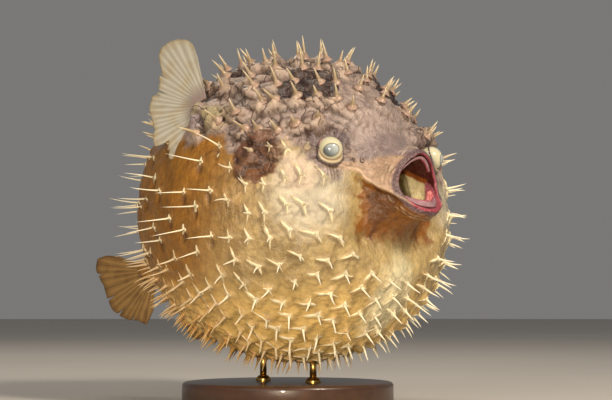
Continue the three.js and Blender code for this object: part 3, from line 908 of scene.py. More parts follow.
# Painted shade: creases, slits, hollows, the cup's wrinkles and the trench are darkened where shade falls;
# faint dark streaks also go on the muzzle.
painted_crease_shade = np.maximum.reduce([
    lobe_shade * (1.7 * dorsal * (1 - 0.7 * forehead) + 0.5 * under + 0.2 * cheek),
    0.3 * arm_shade * (1 - dorsal) * (1 - flank) * smooth(20, 60, body_x),
    0.85 * seams,
    0.08 * creeps,
    1.1 * pit * (0.25 * rear + 0.9 * flank),
    0.9 * gill_slit,
    0.8 * gill_hollow,
    0.95 * smooth(0.1, 0.9, -rays) * cup_wrinkle,
    trench,
    0.85 * drips,
    0.9 * crumple_lines,
    0.75 * (bump(eye_ring - 10.8, 2.2) + brow_shade),
    0.6 * smooth(0.1, 0.8, -folds) * gather,
    0.3 * smooth(0.4, 0.95, grooves) * snout_zone * smooth(0, 4, fold),
]).clip(0, 1)
in_dark_mark = smooth(-0.1, 0.1, np.maximum(fields["blotch"], 0.7 * fields["purple"]))
# Painted highlight: the raised tents, lobes, fold crests and crumples are lightened as if lit.
lobe_highlight = 0.3 * smooth(0.6, 2.4, lobes) * lobe_share * clear_cup
painted_highlight = np.maximum.reduce([
    np.clip(tent / 3.0 + lobe_highlight, 0, 1) * (1 - 0.85 * in_dark_mark),
    0.9 * bump(fold - 0.8, 1.2) * snout_zone,
    smooth(0.1, 0.7, folds) * gather,
    0.45 * (crumple - crumple_lines),
])
print("mean crease", round(float(painted_crease_shade.mean()), 3), " mean peak", round(float(painted_highlight.mean()), 3))

# %% Keep the fields on the skin for its material
cup_edge = eye_ring + 4 * lumps(body_points, 9, 12)
throat_rim = np.interp(body_x, [82, 104, 123, 130], [27, 25, 15, 6])
inner_cheek = smooth(114, 121, body_x) * smooth(-3, 2, throat_rim - body_z)
kept_fields = {
    "lip_distance": lip_distance,
    "painted_crease_shade": painted_crease_shade,
    "painted_highlight": painted_highlight,
    "throat": np.where(lip_distance > 8, throat_rim - body_z, -20.0),
    "lip_pink": np.where(
        lip_distance > -4,
        lip_distance + 3.4 * smooth(0.3, 0.9, -np.cos(around_mouth)) - 2.2,
        -9.0,
    ),
    "inner_cheek": inner_cheek * smooth(2, 4, lip_distance),
    "cup": (1 - smooth(15, 22, cup_edge)) * smooth(-15, 5, above_eye),
    "flap": np.maximum(gill_flap, 0.7 * fin_lobe),
    "leathery": dorsal * (1 - 0.8 * forehead) * clear_cup,
}
for name in (
    "back", "blotch", "muzzle", "snout_top", "chin_brown_and_shadow", "chin_streak", "rear", "under",
    "painted_light_cheek", "painted_light_chest", "purple", "olive", "rosy", "lilac",
):
    kept_fields[name] = fields[name]
for name, values in kept_fields.items():
    store(skin_mesh, name, values)
print("fields kept:", len(kept_fields))

# %% [markdown]
# Dried fish skin: thin, satiny and a little see-through on the belly, where it was stretched
# over stuffing, and leathery on the back. The layers below go on like glazes, each ruled by
# one field and frayed at its edge by noise.

# %% Dried skin material
SKIN_LAYERS = [
    # field, from, to, fraying, colour, strength
    # The rear's amber is partly its own colour and partly painted shade, darker on the side turned from
    # the key light.
    ("rear", 0.12, 0.9, 0.3, "#946210", 0.95),
    ("under", 0.15, 0.95, 0.2, "#eec875", 0.8),
    # Painted light on the cheek and chest, where the key light falls most.
    ("painted_light_cheek", -0.15, 0.55, 0.5, "#c3baa3", 0.92),
    ("painted_light_chest", 0.0, 0.5, 0.5, "#e2dab4", 0.85),
    ("rosy", -0.1, 0.5, 0.6, "#c4ad96", 0.7),
    ("back", -2.0, 3.0, 9.0, "#a2918a", 1.0),
    ("purple", 0.0, 0.2, 0.9, "#643d26", 0.92),
    ("olive", -0.1, 0.4, 0.6, "#978a66", 0.7),
    ("flap", 0.1, 0.7, 0.5, "#ada27e", 0.8),
    ("lilac", 0.0, 0.3, 0.3, "#b3a4a8", 0.85),
    ("blotch", -0.04, 0.06, 0.3, "#25232c", 0.97),
    ("cup", 0.1, 0.7, 0.6, "#74656b", 0.88),
    ("muzzle", 0.2, 0.8, 0.3, "#b3967e", 1.0),
    ("snout_top", 0.2, 0.8, 0.8, "#8d7c7b", 0.75),
    # Partly brown skin and partly painted shadow under the muzzle.
    ("chin_brown_and_shadow", 0.2, 0.8, 0.9, "#7c4704", 0.93),
    ("chin_streak", 0.1, 0.9, 0.8, "#57341a", 0.65),
]
MOUTH_LAYERS = [
    ("lip_distance", -7.0, -4.6, 2.5, "#6a5459", 0.92),
    ("lip_pink", -1.6, -0.4, 1.6, "#a04655", 1.0),
    ("lip_distance", 2.0, 4.5, 1.0, "#4a1613", 1.0),
    ("throat", -3.0, -1.0, 2.0, "#8e4c14", 1.0),
    # The cream throat is partly painted light, where the key light reaches the floor through the lips.
    ("throat", 1.0, 3.0, 2.0, "#e6d9aa", 1.0),
    ("inner_cheek", 0.3, 0.7, 0.3, "#a8606c", 1.0),
]
# Painted shade in the creases and a painted highlight on the raised skin.
DETAIL_LAYERS = [("painted_crease_shade", "#3a2216", 0.9), ("painted_highlight", "#e2c8a8", 0.45)]

# Skin dried over a mould: leathery, half glossy where it is taut, and slightly see-through.
# Its real grain is finer than a millimetre. It is drawn at 1.1 mm, as coarse as it must be to show.
dried_skin, tree = new_material("dried_fish_skin")
position = add(tree, "ShaderNodeTexCoord").outputs["Object"]
fray = add(tree, "ShaderNodeTexNoise", None, Vector=position, Scale=per_metre(6.667), Detail=3.0)
mottle = add(tree, "ShaderNodeTexNoise", None, Vector=position, Scale=per_metre(14.29), Detail=4.0)
grain = add(tree, "ShaderNodeTexNoise", None, Vector=position, Scale=per_metre(1.111), Detail=3.0)
crinkle = add(tree, "ShaderNodeTexNoise", None, Vector=position, Scale=per_metre(4.348), Detail=5.0)
tall = add(tree, "ShaderNodeMapping", None, Vector=position, Scale=(1, 1, 0.12))
streak = add(tree, "ShaderNodeTexNoise", None, Vector=tall.outputs[0], Scale=per_metre(2.381), Detail=2.0)

base = add(
    tree, "ShaderNodeMix", BLEND, i0=mottle.outputs["Fac"], i6=colour("#967c4c"), i7=colour("#c1ab77")
)
skin_colour = base.outputs[2]
centred = add(tree, "ShaderNodeMath", {"operation": "SUBTRACT"}, i0=fray.outputs["Fac"], i1=0.5)
for field, low, high, fraying, tint, strength in SKIN_LAYERS + MOUTH_LAYERS:
    value = add(tree, "ShaderNodeAttribute", {"attribute_name": field}).outputs["Fac"]
    frayed = add(tree, "ShaderNodeMath", SCALE_AND_ADD, i0=centred.outputs[0], i1=fraying, i2=value)
    edge = frayed.outputs[0]
    share = add(tree, "ShaderNodeMapRange", EASED, i0=edge, i1=low, i2=high, i3=0.0, i4=strength)
    layer = add(tree, "ShaderNodeMix", BLEND, i0=share.outputs[0], i6=skin_colour, i7=colour(tint))
    skin_colour = layer.outputs[2]

# Dark upright streaks on the amber flank are painted shade of its fine upright wrinkles, which the same
# noise also bumps.
rear = add(tree, "ShaderNodeAttribute", {"attribute_name": "rear"}).outputs["Fac"]
streak_shade = add(tree, "ShaderNodeMapRange", None, i0=streak.outputs[0], i1=0.5, i2=0.75, i3=0.0, i4=0.55)
share = add(tree, "ShaderNodeMath", {"operation": "MULTIPLY"}, i0=streak_shade.outputs[0], i1=rear)
layer = add(tree, "ShaderNodeMix", BLEND, i0=share.outputs[0], i6=skin_colour, i7=colour("#6e4418"))
skin_colour = layer.outputs[2]

for field, tint, strength in DETAIL_LAYERS:
    value = add(tree, "ShaderNodeAttribute", {"attribute_name": field}).outputs["Fac"]
    share = add(tree, "ShaderNodeMath", {"operation": "MULTIPLY"}, i0=value, i1=strength)
    layer = add(tree, "ShaderNodeMix", BLEND, i0=share.outputs[0], i6=skin_colour, i7=colour(tint))
    skin_colour = layer.outputs[2]

# Sharp creases run where a slow noise passes its middle value, on the leathery back only. The bump sinks
# them, and painted shade darkens them.
slow = add(
    tree, "ShaderNodeTexNoise", None,
    Vector=position, Scale=per_metre(13.89), Detail=1.5, Distortion=0.5,
)
middle = add(tree, "ShaderNodeMath", {"operation": "SUBTRACT"}, i0=slow.outputs["Fac"], i1=0.5)
off_middle = add(tree, "ShaderNodeMath", {"operation": "ABSOLUTE"}, i0=middle.outputs[0])
line = add(tree, "ShaderNodeMapRange", EASED, i0=off_middle.outputs[0], i1=0.004, i2=0.03, i3=0.8, i4=0.0)
leathery = add(tree, "ShaderNodeAttribute", {"attribute_name": "leathery"}).outputs["Fac"]
shaded_crease_line = add(tree, "ShaderNodeMath", {"operation": "MULTIPLY"}, i0=line.outputs[0], i1=leathery)
layer = add(tree, "ShaderNodeMix", BLEND, i0=shaded_crease_line.outputs[0], i6=skin_colour, i7=colour("#35231f"))
skin_colour = layer.outputs[2]

blend = add(tree, "ShaderNodeMath", SCALE_AND_ADD, i0=crinkle.outputs[0], i1=0.7, i2=mottle.outputs[0])
tone = add(tree, "ShaderNodeMapRange", None, i0=blend.outputs[0], i1=0.6, i2=1.1, i3=0.72, i4=1.16)
brightness = tone.outputs[0]
toned = add(tree, "ShaderNodeVectorMath", {"operation": "SCALE"}, i0=skin_colour, Scale=brightness)
fine = add(tree, "ShaderNodeMath", {"operation": "ADD"}, i0=grain.outputs[0], i1=streak.outputs[0])
height = add(tree, "ShaderNodeMath", SCALE_AND_ADD, i0=crinkle.outputs["Fac"], i1=4.0, i2=fine.outputs[0])
sunken = add(tree, "ShaderNodeMath", SCALE_AND_ADD, i0=shaded_crease_line.outputs[0], i1=-1.6, i2=height.outputs[0])
wrinkle = add(tree, "ShaderNodeBump", None, Height=sunken.outputs[0], Strength=0.6, Distance=0.0007)
finish_material(
    tree,
    Base_Color=toned.outputs[0],
    Roughness=0.36,
    Normal=wrinkle.outputs[0],
    Subsurface_Weight=0.12,
    Subsurface_Radius=(0.004, 0.002, 0.001),
    Subsurface_Scale=1.0,
)
make_piece(
    skin_mesh, "skin", "skin_back", dried_skin,
    replaces=("head", "back", "belly", "tail_base", "lips"),
)
print("skin faces:", len(skin_mesh.polygons))


# %% [markdown]
# One spine is modelled once: an eight-sided knob with three root arms drawn out of its sides
# and a shaft drawn up from its top to a point. Two arms sweep back, the upper one stout, and a
# short stub points forward, which is what braces a real spine in the skin. It has few faces,
# because it is repeated hundreds of times. An Array modifier makes the copies, and numpy then
# sends each copy to its own root: arms are laid on the skin, the shaft is drawn to its length.

# %% One spine
PATTERN_LENGTH = 20.0
SHAFT_RINGS = [(0.9, 1.2), (2.5, 0.95), (6.0, 0.8), (11.0, 0.6), (16.0, 0.36), (20.0, 0.03)]
KNOB = {"radius": 1.65, "depth": 1.6, "height": 0.5}


def spine_pattern():
    """+X points to the tail, +Y up the flank and +Z out of the skin."""
    bm = bmesh.new()
    half_turn = Matrix.Rotation(math.radians(22.5), 4, "Z")
    bmesh.ops.create_circle(bm, cap_ends=True, segments=8, radius=KNOB["radius"], matrix=half_turn)
    bmesh.ops.translate(bm, verts=bm.verts, vec=(0, 0, -KNOB["depth"]))
    cap = bmesh.ops.extrude_face_region(bm, geom=bm.faces[:])["geom"]
    top = [v for v in cap if isinstance(v, bmesh.types.BMVert)]
    bmesh.ops.translate(bm, verts=top, vec=(0, 0, KNOB["depth"] + KNOB["height"]))
    bm.normal_update()
    sides = [f for f in bm.faces if abs(f.normal.z) < 0.5]
    for angle, reach, thickness in ROOT_ARMS:
        way = Vector((math.cos(math.radians(angle)), math.sin(math.radians(angle)), 0))
        face = max(sides, key=lambda f: f.normal.dot(way))
        sides.remove(face)
        for share, thin in ((0.35, thickness), (0.65, 0.3)):
            face = bmesh.ops.extrude_discrete_faces(bm, faces=[face])["faces"][0]
            bmesh.ops.translate(bm, verts=face.verts, vec=way * reach * share)
            middle = face.calc_center_median()
            pivot = Vector((middle.x, middle.y, -1.3))
            to_pivot = Matrix.Translation(-pivot)
            bmesh.ops.scale(bm, verts=face.verts, vec=(thin,) * 3, space=to_pivot)
    bm.normal_update()
    tops = [f for f in bm.faces if f.normal.z > 0.5]
    face = min(tops, key=lambda f: f.calc_center_median().xy.length)
    for height_up, radius in SHAFT_RINGS:
        face = bmesh.ops.extrude_discrete_faces(bm, faces=[face])["faces"][0]
        for v in face.verts:
            across = Vector((v.co.x, v.co.y)).normalized() * radius
            v.co = (across.x, across.y, height_up)
    bmesh.ops.recalc_face_normals(bm, faces=bm.faces)
    return bm


pattern_mesh = mesh_from(spine_pattern(), "spine_pattern")
pattern = coordinates(pattern_mesh)
print("one spine:", len(pattern), "points,", len(pattern_mesh.polygons), "faces")


# %% Helpers for laying the spines
def arrayed(mesh, count):
    holder = bpy.data.objects.new("array_holder", mesh)
    bpy.context.scene.collection.objects.link(holder)
    array = holder.modifiers.new("copies", "ARRAY")
    array.count = count
    array.use_relative_offset = False
    ready = holder.evaluated_get(bpy.context.evaluated_depsgraph_get())
    copies = bpy.data.meshes.new_from_object(ready)
    bpy.data.objects.remove(holder)
    return copies


def face_key(face):
    """Puts faces in the order of their points. Spin leaves them in an order that varies."""
    indices = [v.index for v in face.verts]
    return min(indices) * 1e6 + sum(indices)


def surface_of(mesh, points):
    """A copy of the mesh with the given points, ready to be asked for its nearest spot."""
    bm = bmesh.new()
    bm.from_mesh(mesh)
    for v, p in zip(bm.verts, points):
        v.co = p
    bm.faces.sort(key=face_key)
    tree = BVHTree.FromBMesh(bm)
    bm.free()
    return tree


def outward(mesh):
    """Turns every face outward, which laying a mirrored shape can undo."""
    bm = bmesh.new()
    bm.from_mesh(mesh)
    bmesh.ops.recalc_face_normals(bm, faces=bm.faces)
    bm.to_mesh(mesh)
    bm.free()


skin_surface = surface_of(skin_mesh, skin_points)


def on_skin(points):
    hits = [skin_surface.find_nearest(Vector(p)) for p in points]
    spot = np.array([h[0] for h in hits])
    normal = np.array([h[1] for h in hits])
    flip = np.where((normal * unit(spot)).sum(1) < 0, -1.0, 1.0)
    return spot, normal * flip[:, None]


# %% Lay the spines
px, py, pz = pattern.T
on_arm = pz < SHAFT_RINGS[0][0] - 0.05
share_up = np.clip(pz / PATTERN_LENGTH, 0, 1)
root_flank = flank_share(roots)
golden = smooth(0.3, 0.9, root_fields["under"]) * (1 - smooth(-5, 60, roots[:, 0]))
golden = np.maximum(golden, 0.8 * root_fields["rear"] ** 2 * (1 - root_flank)) * (1 - root_dorsal)


def laid_spines(chosen):
    """The points of the chosen spines, one copy of the pattern after another."""
    count = len(chosen)
    foot, normal = on_skin(roots[chosen])
    tips = roots[chosen] + aims[chosen] * lengths[chosen, None]
    dark, flank_here = root_dorsal[chosen], root_flank[chosen]
    back_way = root_back_way[chosen]
    back_way = unit(back_way - normal * (back_way * normal).sum(1, keepdims=True))
    up_way = root_up_way[chosen] - normal * (root_up_way[chosen] * normal).sum(1, keepdims=True)
    up_way = unit(up_way - back_way * (up_way * back_way).sum(1, keepdims=True))

    twist, long = root_twist[chosen], arm_stretch[chosen]
    ax = (px * np.cos(twist)[:, None] - py * np.sin(twist)[:, None]) * long[:, None]
    ay = (px * np.sin(twist)[:, None] + py * np.cos(twist)[:, None]) * long[:, None]
    spots = foot[:, None] + back_way[:, None] * ax[..., None] + up_way[:, None] * ay[..., None]
    laid, laid_normal = on_skin(spots.reshape(-1, 3))
    hidden = np.clip(1.2 * dark + 1.7 * flank_here + 1.1 * golden[chosen], 0, 1.7)
    sunk = hidden[:, None] * smooth(1.2, 2.6, np.hypot(px, py))
    lift = (pz + 0.35 - sunk).reshape(-1, 1)
    arms = (laid + laid_normal * lift).reshape(count, -1, 3)

    reach = np.linalg.norm(tips - foot, axis=1)
    axis = unit(tips - foot)
    across = unit(np.cross(axis, up_way))
    across_up = np.cross(axis, across)
    flare = 1 + (1.5 * dark + 0.8 * golden[chosen])[:, None] * (1 - smooth(0, 0.4, share_up))
    thick = (1 + 0.6 * dark - 0.35 * flank_here)[:, None] * flare
    lean = unit(aims[chosen] - normal * (aims[chosen] * normal).sum(1, keepdims=True))
    bow = (np.sin(np.pi * share_up) * 0.05)[None, :, None] * (lean * reach[:, None])[:, None]
    shaft = foot[:, None] + axis[:, None] * (reach[:, None] * share_up)[..., None] - bow
    shaft += across[:, None] * (px * thick)[..., None] + across_up[:, None] * (py * thick)[..., None]
    return np.where(on_arm[:, None], arms, shaft).reshape(-1, 3)


def spine_piece(name, chosen, material):
    mesh = arrayed(pattern_mesh, len(chosen))
    set_coordinates(mesh, laid_spines(chosen))
    outward(mesh)
    store(mesh, "back", np.repeat(root_fields["back"][chosen], len(pattern)))
    store(mesh, "golden", np.repeat(golden[chosen], len(pattern)))
    store(mesh, "height_up", np.tile(share_up, len(chosen)))
    store(mesh, "arm_reach", np.tile(np.where(on_arm, np.hypot(px, py) / 9.5, 0), len(chosen)))
    patch = np.stack([0.5 + px / 24.0, share_up], 1) * 0.003 - 0.0015
    uv = (np.clip(unwraps[chosen], 0.002, 0.998)[:, None] + patch).reshape(-1, 2)
    corners = np.zeros(len(mesh.loops), np.int32)
    mesh.loops.foreach_get("vertex_index", corners)
    uv_map = mesh.uv_layers.new(name="OFBake")
    uv_map.data.foreach_set("uv", uv[corners].astype(np.float32).ravel())
    return make_piece(mesh, name, "skin_belly", material)


# %% Spine material and the two halves of the coat
# Bare spines dried to pale bone with a low sheen: dark skin clings to those of the back, gold
# skin to those of the rear, and a little skin to the ends of the root arms.
spine_bone, tree = new_material("dry_spine_bone")
position = add(tree, "ShaderNodeTexCoord").outputs["Object"]
grain = add(tree, "ShaderNodeTexNoise", None, Vector=position, Scale=per_metre(1.667), Detail=2.0)
up = add(tree, "ShaderNodeAttribute", {"attribute_name": "height_up"}).outputs["Fac"]
ramps = []
for stops in (
    ((0.0, "#ede0ba"), (0.25, "#f2e8c9"), (1.0, "#f4eeda")),
    ((0.03, "#ad9083"), (0.35, "#988468"), (1.0, "#dccfae")),
    ((0.0, "#b98c48"), (0.4, "#c29a58"), (1.0, "#d8b880")),
):
    ramp = add(tree, "ShaderNodeValToRGB", None, Fac=up)
    elements = ramp.color_ramp.elements
    for k, (place, tint) in enumerate(stops):
        element = elements[k] if k < 2 else elements.new(place)
        element.position = place
        element.color = colour(tint)
    ramps.append(ramp.outputs[0])
back = add(tree, "ShaderNodeAttribute", {"attribute_name": "back"}).outputs["Fac"]
share = add(tree, "ShaderNodeMapRange", None, i0=back, i1=-2.0, i2=6.0, i3=0.0, i4=1.0)
bone = add(tree, "ShaderNodeMix", BLEND, i0=share.outputs[0], i6=ramps[0], i7=ramps[1])
gold = add(tree, "ShaderNodeAttribute", {"attribute_name": "golden"}).outputs["Fac"]
gilded = add(tree, "ShaderNodeMix", BLEND, i0=gold, i6=bone.outputs[2], i7=ramps[2])
reach = add(tree, "ShaderNodeAttribute", {"attribute_name": "arm_reach"}).outputs["Fac"]
skinned = add(tree, "ShaderNodeMapRange", EASED, i0=reach, i1=0.5, i2=1.1, i3=0.0, i4=0.55)
covered = add(
    tree, "ShaderNodeMix", BLEND, i0=skinned.outputs[0], i6=gilded.outputs[2], i7=colour("#cfb27c")
)
rough = add(tree, "ShaderNodeBump", None, Height=grain.outputs["Fac"], Strength=0.3, Distance=0.0003)
finish_material(
    tree,
    Base_Color=covered.outputs[2],
    Roughness=0.28,
    Normal=rough.outputs[0],
    Subsurface_Weight=0.1,
    Subsurface_Radius=(0.002, 0.001, 0.0006),
    Subsurface_Scale=1.0,
)
for side, sign in SIDES.items():
    spine_piece(f"spines_{side}", np.flatnonzero(roots[:, 1] * -sign >= 0), spine_bone)


# %% [markdown]
# Eyes. Taxidermists set a painted glass ball in the socket, and so does this model: a cream
# ball with a grey, oval pupil that looks forward and down. The oval is told by an attribute,
# measured square to the pupil's axis, and the ball bulges a little under it like a cornea.


# %% Eyeballs
PUPIL = {"turn": 40.5, "rise": -9.0, "across": 5.3, "up": 4.3, "tilt": 14.0}


def eye_frame(axis):
    """Towards the tail, up, and out along the axis."""
    up_way = unit(np.array([0.0, 0.0, 1.0]) - axis * axis[2])
    rear_way = np.cross(axis, up_way)
    return rear_way * (-1.0 if rear_way[0] > 0 else 1.0), up_way, axis


def eyeball(side_name, side):
    bm = bmesh.new()
    axis = direction(PUPIL["turn"], PUPIL["rise"], side)
    aim_it = Vector(axis).to_track_quat("Z", "Y").to_matrix().to_4x4()
    bmesh.ops.create_uvsphere(bm, u_segments=64, v_segments=40, radius=EYE["radius"], matrix=aim_it)
    mesh = mesh_from(bm, f"eyeball_{side_name}")
    points = coordinates(mesh)
    rear_way, up_way, _ = eye_frame(axis)
    across, upward = points @ rear_way, points @ up_way
    c, s = math.cos(math.radians(PUPIL["tilt"])), math.sin(math.radians(PUPIL["tilt"]))
    oval = np.hypot((across * c - upward * s) / PUPIL["across"], (across * s + upward * c) / PUPIL["up"])
    oval = np.where(points @ axis > 0, oval, 3.0)
    points *= (1 + 0.045 * (1 - smooth(0.6, 1.3, oval)))[:, None]
    set_coordinates(mesh, points + eye_at(side))
    store(mesh, "oval", oval)
    # A painted highlight on the pupil, lighter upwards and towards the nose.
    store(mesh, "painted_pupil_highlight", (upward - across) / 8.0)
    return mesh


# Painted glass under clear lacquer: sharp highlights over a cream ball and a grey pupil.
# The pupil is painted lighter upwards and towards the nose, a painted highlight, and darker the other way.
glass_eye, tree = new_material("painted_glass_eye")
position = add(tree, "ShaderNodeTexCoord").outputs["Object"]
cloud = add(tree, "ShaderNodeTexNoise", None, Vector=position, Scale=per_metre(3.846), Detail=2.0)
white = add(
    tree, "ShaderNodeMix", BLEND, i0=cloud.outputs["Fac"], i6=colour("#c2bd96"), i7=colour("#dedbc2")
)
painted_pupil_highlight = add(tree, "ShaderNodeAttribute", {"attribute_name": "painted_pupil_highlight"}).outputs["Fac"]
pupil_highlight_share = add(tree, "ShaderNodeMapRange", None, i0=painted_pupil_highlight, i1=-0.7, i2=0.8, i3=0.0, i4=1.0)
pupil = add(tree, "ShaderNodeMix", BLEND, i0=pupil_highlight_share.outputs[0], i6=colour("#4c585c"), i7=colour("#bcc3c4"))
oval = add(tree, "ShaderNodeAttribute", {"attribute_name": "oval"}).outputs["Fac"]
eye_colour = pupil.outputs[2]
for low, high, into in ((0.9, 1.0, colour("#6f6c58")), (1.02, 1.14, white.outputs[2])):
    edge = add(tree, "ShaderNodeMapRange", EASED, i0=oval, i1=low, i2=high)
    layer = add(tree, "ShaderNodeMix", BLEND, i0=edge.outputs[0], i6=eye_colour, i7=into)
    eye_colour = layer.outputs[2]
finish_material(tree, Base_Color=eye_colour, Roughness=0.16, Coat_Weight=0.8, Coat_Roughness=0.05)
for side, sign in SIDES.items():
    make_piece(eyeball(side, sign), f"eyeball_{side}", "eye", glass_eye, replaces=(f"eye_{side}",))

# %% [markdown]
# The rim of skin round each eye dried into a ring: hardly there above, and below it a pale
# crescent with a dark, puckered edge. It is a circle spun round the eye's axis and then
# squeezed by angle, so that one closed ring makes both parts. The nostril's raised rim is
# spun the same way.


# %% Rings of skin
def ring_mesh(name, radius, section, steps):
    """A torus about Z, with its section's own angle and its angle round the ring kept."""
    bm = bmesh.new()
    upright = Matrix.Translation((radius, 0, 0)) @ Matrix.Rotation(math.pi / 2, 4, "X")
    bmesh.ops.create_circle(bm, segments=section, radius=1.0, matrix=upright)
    full_turn(bm, (0, 0, 1), steps)
    mesh = mesh_from(bm, name)
    x, y, z = coordinates(mesh).T
    return mesh, np.arctan2(y, x), np.hypot(x, y) - radius, z


def eyelid(side_name, side):
    mesh, angle, out_share, thick_share = ring_mesh(f"eyelid_{side_name}", 10.0, 14, 120)
    low = smooth(0.05, 0.85, -np.sin(angle - 0.15))
    pucker = np.sin(angle * 23) * 0.5 + np.sin(angle * 37 + 1) * 0.3
    inner = 7.9 + 0.5 * low
    width = 0.9 + 3.2 * low + 0.6 * pucker * smooth(0.2, 1, out_share)
    lateral = inner + width * (out_share + 1) / 2
    drop = (0.7 + 1.3 * low) * ((out_share + 1) / 2) ** 1.5
    thickness = (0.55 + 0.4 * low) * (1 + 0.25 * pucker * smooth(-0.4, 0.6, out_share))
    height_out = 2.1 - 0.5 * low - drop + thickness * thick_share
    rear_way, up_way, axis = eye_frame(direction(EYE["turn"], EYE["rise"], side))
    points = eye_at(side) + axis * height_out[:, None]
    points += rear_way * (lateral * np.cos(angle))[:, None] + up_way * (lateral * np.sin(angle))[:, None]
    set_coordinates(mesh, points)
    outward(mesh)
    store(mesh, "out_share", out_share)
    store(mesh, "low", low)
    store(mesh, "wet_corner", bump(angle - math.radians(38), 0.3))
    return mesh


NOSTRIL = np.array([103.5, 31.0, 31.5])


def nostril(side_name, side):
    mesh, angle, out_share, thick_share = ring_mesh(f"nostril_{side_name}", 2.0, 10, 28)
    spot, normal = on_skin(np.array([NOSTRIL * [1, -side, 1]]))
    rear_way, up_way, axis = eye_frame(unit(normal[0]))
    lateral = 1.45 + 0.62 * out_share
    points = spot[0] + axis * (0.35 + 0.75 * thick_share)[:, None]
    points += rear_way * (0.8 * lateral * np.cos(angle))[:, None]
    points += up_way * (1.15 * lateral * np.sin(angle))[:, None]
    set_coordinates(mesh, points)
    outward(mesh)
    store(mesh, "out_share", out_share)
    store(mesh, "low", np.full(len(points), 0.35))
    store(mesh, "wet_corner", np.zeros(len(points)))
    return mesh


# %% Rim skin material
# Thin skin that puckered as it dried: dull, pale below the eye, darker at its outer edge.
# Its inner edge is painted brown as shade on the eyeball's lower part.
rim_skin, tree = new_material("puckered_rim_skin")
position = add(tree, "ShaderNodeTexCoord").outputs["Object"]
mottle = add(tree, "ShaderNodeTexNoise", None, Vector=position, Scale=per_metre(3.333), Detail=3.0)
low, out_share, wet = (
    add(tree, "ShaderNodeAttribute", {"attribute_name": name}).outputs["Fac"]
    for name in ("low", "out_share", "wet_corner")
)
rim_colour = add(tree, "ShaderNodeMix", BLEND, i0=low, i6=colour("#6f6066"), i7=colour("#bfb08c"))
edge = add(tree, "ShaderNodeMapRange", EASED, i0=out_share, i1=0.0, i2=0.55, i3=0.0, i4=0.9)
rimmed = add(
    tree, "ShaderNodeMix", BLEND, i0=edge.outputs[0], i6=rim_colour.outputs[2], i7=colour("#4a3a42")
)
# Painted shade: the inner edge, against the eyeball, is browned as the eyeball's shaded lower part.
painted_inner_shade = add(tree, "ShaderNodeMapRange", EASED, i0=out_share, i1=-0.15, i2=-0.55, i3=0.0, i4=0.9)
inner_shaded = add(
    tree, "ShaderNodeMix", BLEND, i0=painted_inner_shade.outputs[0], i6=rimmed.outputs[2], i7=colour("#77572c")
)
wetted = add(tree, "ShaderNodeMix", BLEND, i0=wet, i6=inner_shaded.outputs[2], i7=colour("#d8828a"))
rough = add(tree, "ShaderNodeBump", None, Height=mottle.outputs["Fac"], Strength=0.4, Distance=0.0005)
finish_material(tree, Base_Color=wetted.outputs[2], Roughness=0.4, Normal=rough.outputs[0])
for side, sign in SIDES.items():
    make_piece(eyelid(side, sign), f"eyelid_{side}", "skin_back", rim_skin)
    make_piece(nostril(side, sign), f"nostril_{side}", "skin_back", rim_skin)


# %% [markdown]
# Flat things with a thickness, such as fins and tooth plates, begin as a grid that Solidify's
# bmesh operator gives a wall. Its points keep plain shares: across, along and through. A
# formula then bends the shares into the real shape.


# %% A grid with a wall
def walled_grid(name, across, along):
    bm = bmesh.new()
    bmesh.ops.create_grid(bm, x_segments=across, y_segments=along, size=1.0)
    bmesh.ops.recalc_face_normals(bm, faces=bm.faces)
    bmesh.ops.solidify(bm, geom=bm.faces[:], thickness=1.0)
    mesh = mesh_from(bm, name)
    u, v, w = coordinates(mesh).T
    w = np.where(w - w.min() > 0.5, 1.0, 0.0)
    return mesh, (u + 1) / 2, (v + 1) / 2, w


# %% [markdown]
# The beak: in this family the teeth are fused into one plate in each jaw. Here the plates
# stand just inside the lips, bent with them. The lower one shows as a violet-grey band, and
# the upper one hides under the lip.

# %% Tooth plates and wet tissue
PLATE_HALF = 58.0


def tooth_plate(name, up_sign, rise):
    mesh, u, v, w = walled_grid(name, 72, 10)
    angle = np.radians((2 * u - 1) * PLATE_HALF)
    crown = rise * (1 - 0.7 * np.abs(2 * u - 1) ** 3) + 0.35 * lumps(np.stack([u * 40, v, w], 1), 3, 9)
    radius = MOUTH_RADIUS - 0.5 - crown * v
    x = SNOUT_REACH - 3.0 - 1.2 * v - (2.6 - 1.6 * v) * w
    spun_points = np.stack([x, radius * np.sin(angle), up_sign * radius * np.cos(angle)], 1)
    set_coordinates(mesh, take_to_place(spun_points))
    outward(mesh)
    store(mesh, "crown", v)
    return mesh


# Tooth plate, grown in layers and stained by the gum: fine upright lines, a dull shine.
jaw_bone, tree = new_material("stained_jaw_bone")
position = add(tree, "ShaderNodeTexCoord").outputs["Object"]
fibre = add(tree, "ShaderNodeMapping", None, Vector=position, Scale=(1, 1, 0.2))
lines = add(tree, "ShaderNodeTexNoise", None, Vector=fibre.outputs[0], Scale=per_metre(2), Detail=2.0)
stain = add(
    tree, "ShaderNodeMix", BLEND, i0=lines.outputs["Fac"], i6=colour("#7d5a66"), i7=colour("#b08c92")
)
crown = add(tree, "ShaderNodeAttribute", {"attribute_name": "crown"}).outputs["Fac"]
edge = add(tree, "ShaderNodeMapRange", EASED, i0=crown, i1=0.75, i2=1.0, i3=0.0, i4=0.85)
edged = add(tree, "ShaderNodeMix", BLEND, i0=edge.outputs[0], i6=stain.outputs[2], i7=colour("#a8384c"))
rough = add(tree, "ShaderNodeBump", None, Height=lines.outputs["Fac"], Strength=0.3, Distance=0.0004)
finish_material(tree, Base_Color=edged.outputs[2], Roughness=0.32, Normal=rough.outputs[0])
for name, up_sign, rise in (("lower", -1, 4.6), ("upper", 1, 1.6)):
    mesh = tooth_plate(f"tooth_plate_{name}", up_sign, rise)
    make_piece(mesh, f"tooth_plate_{name}", "beak", jaw_bone, replaces=(f"beak_{name}",))

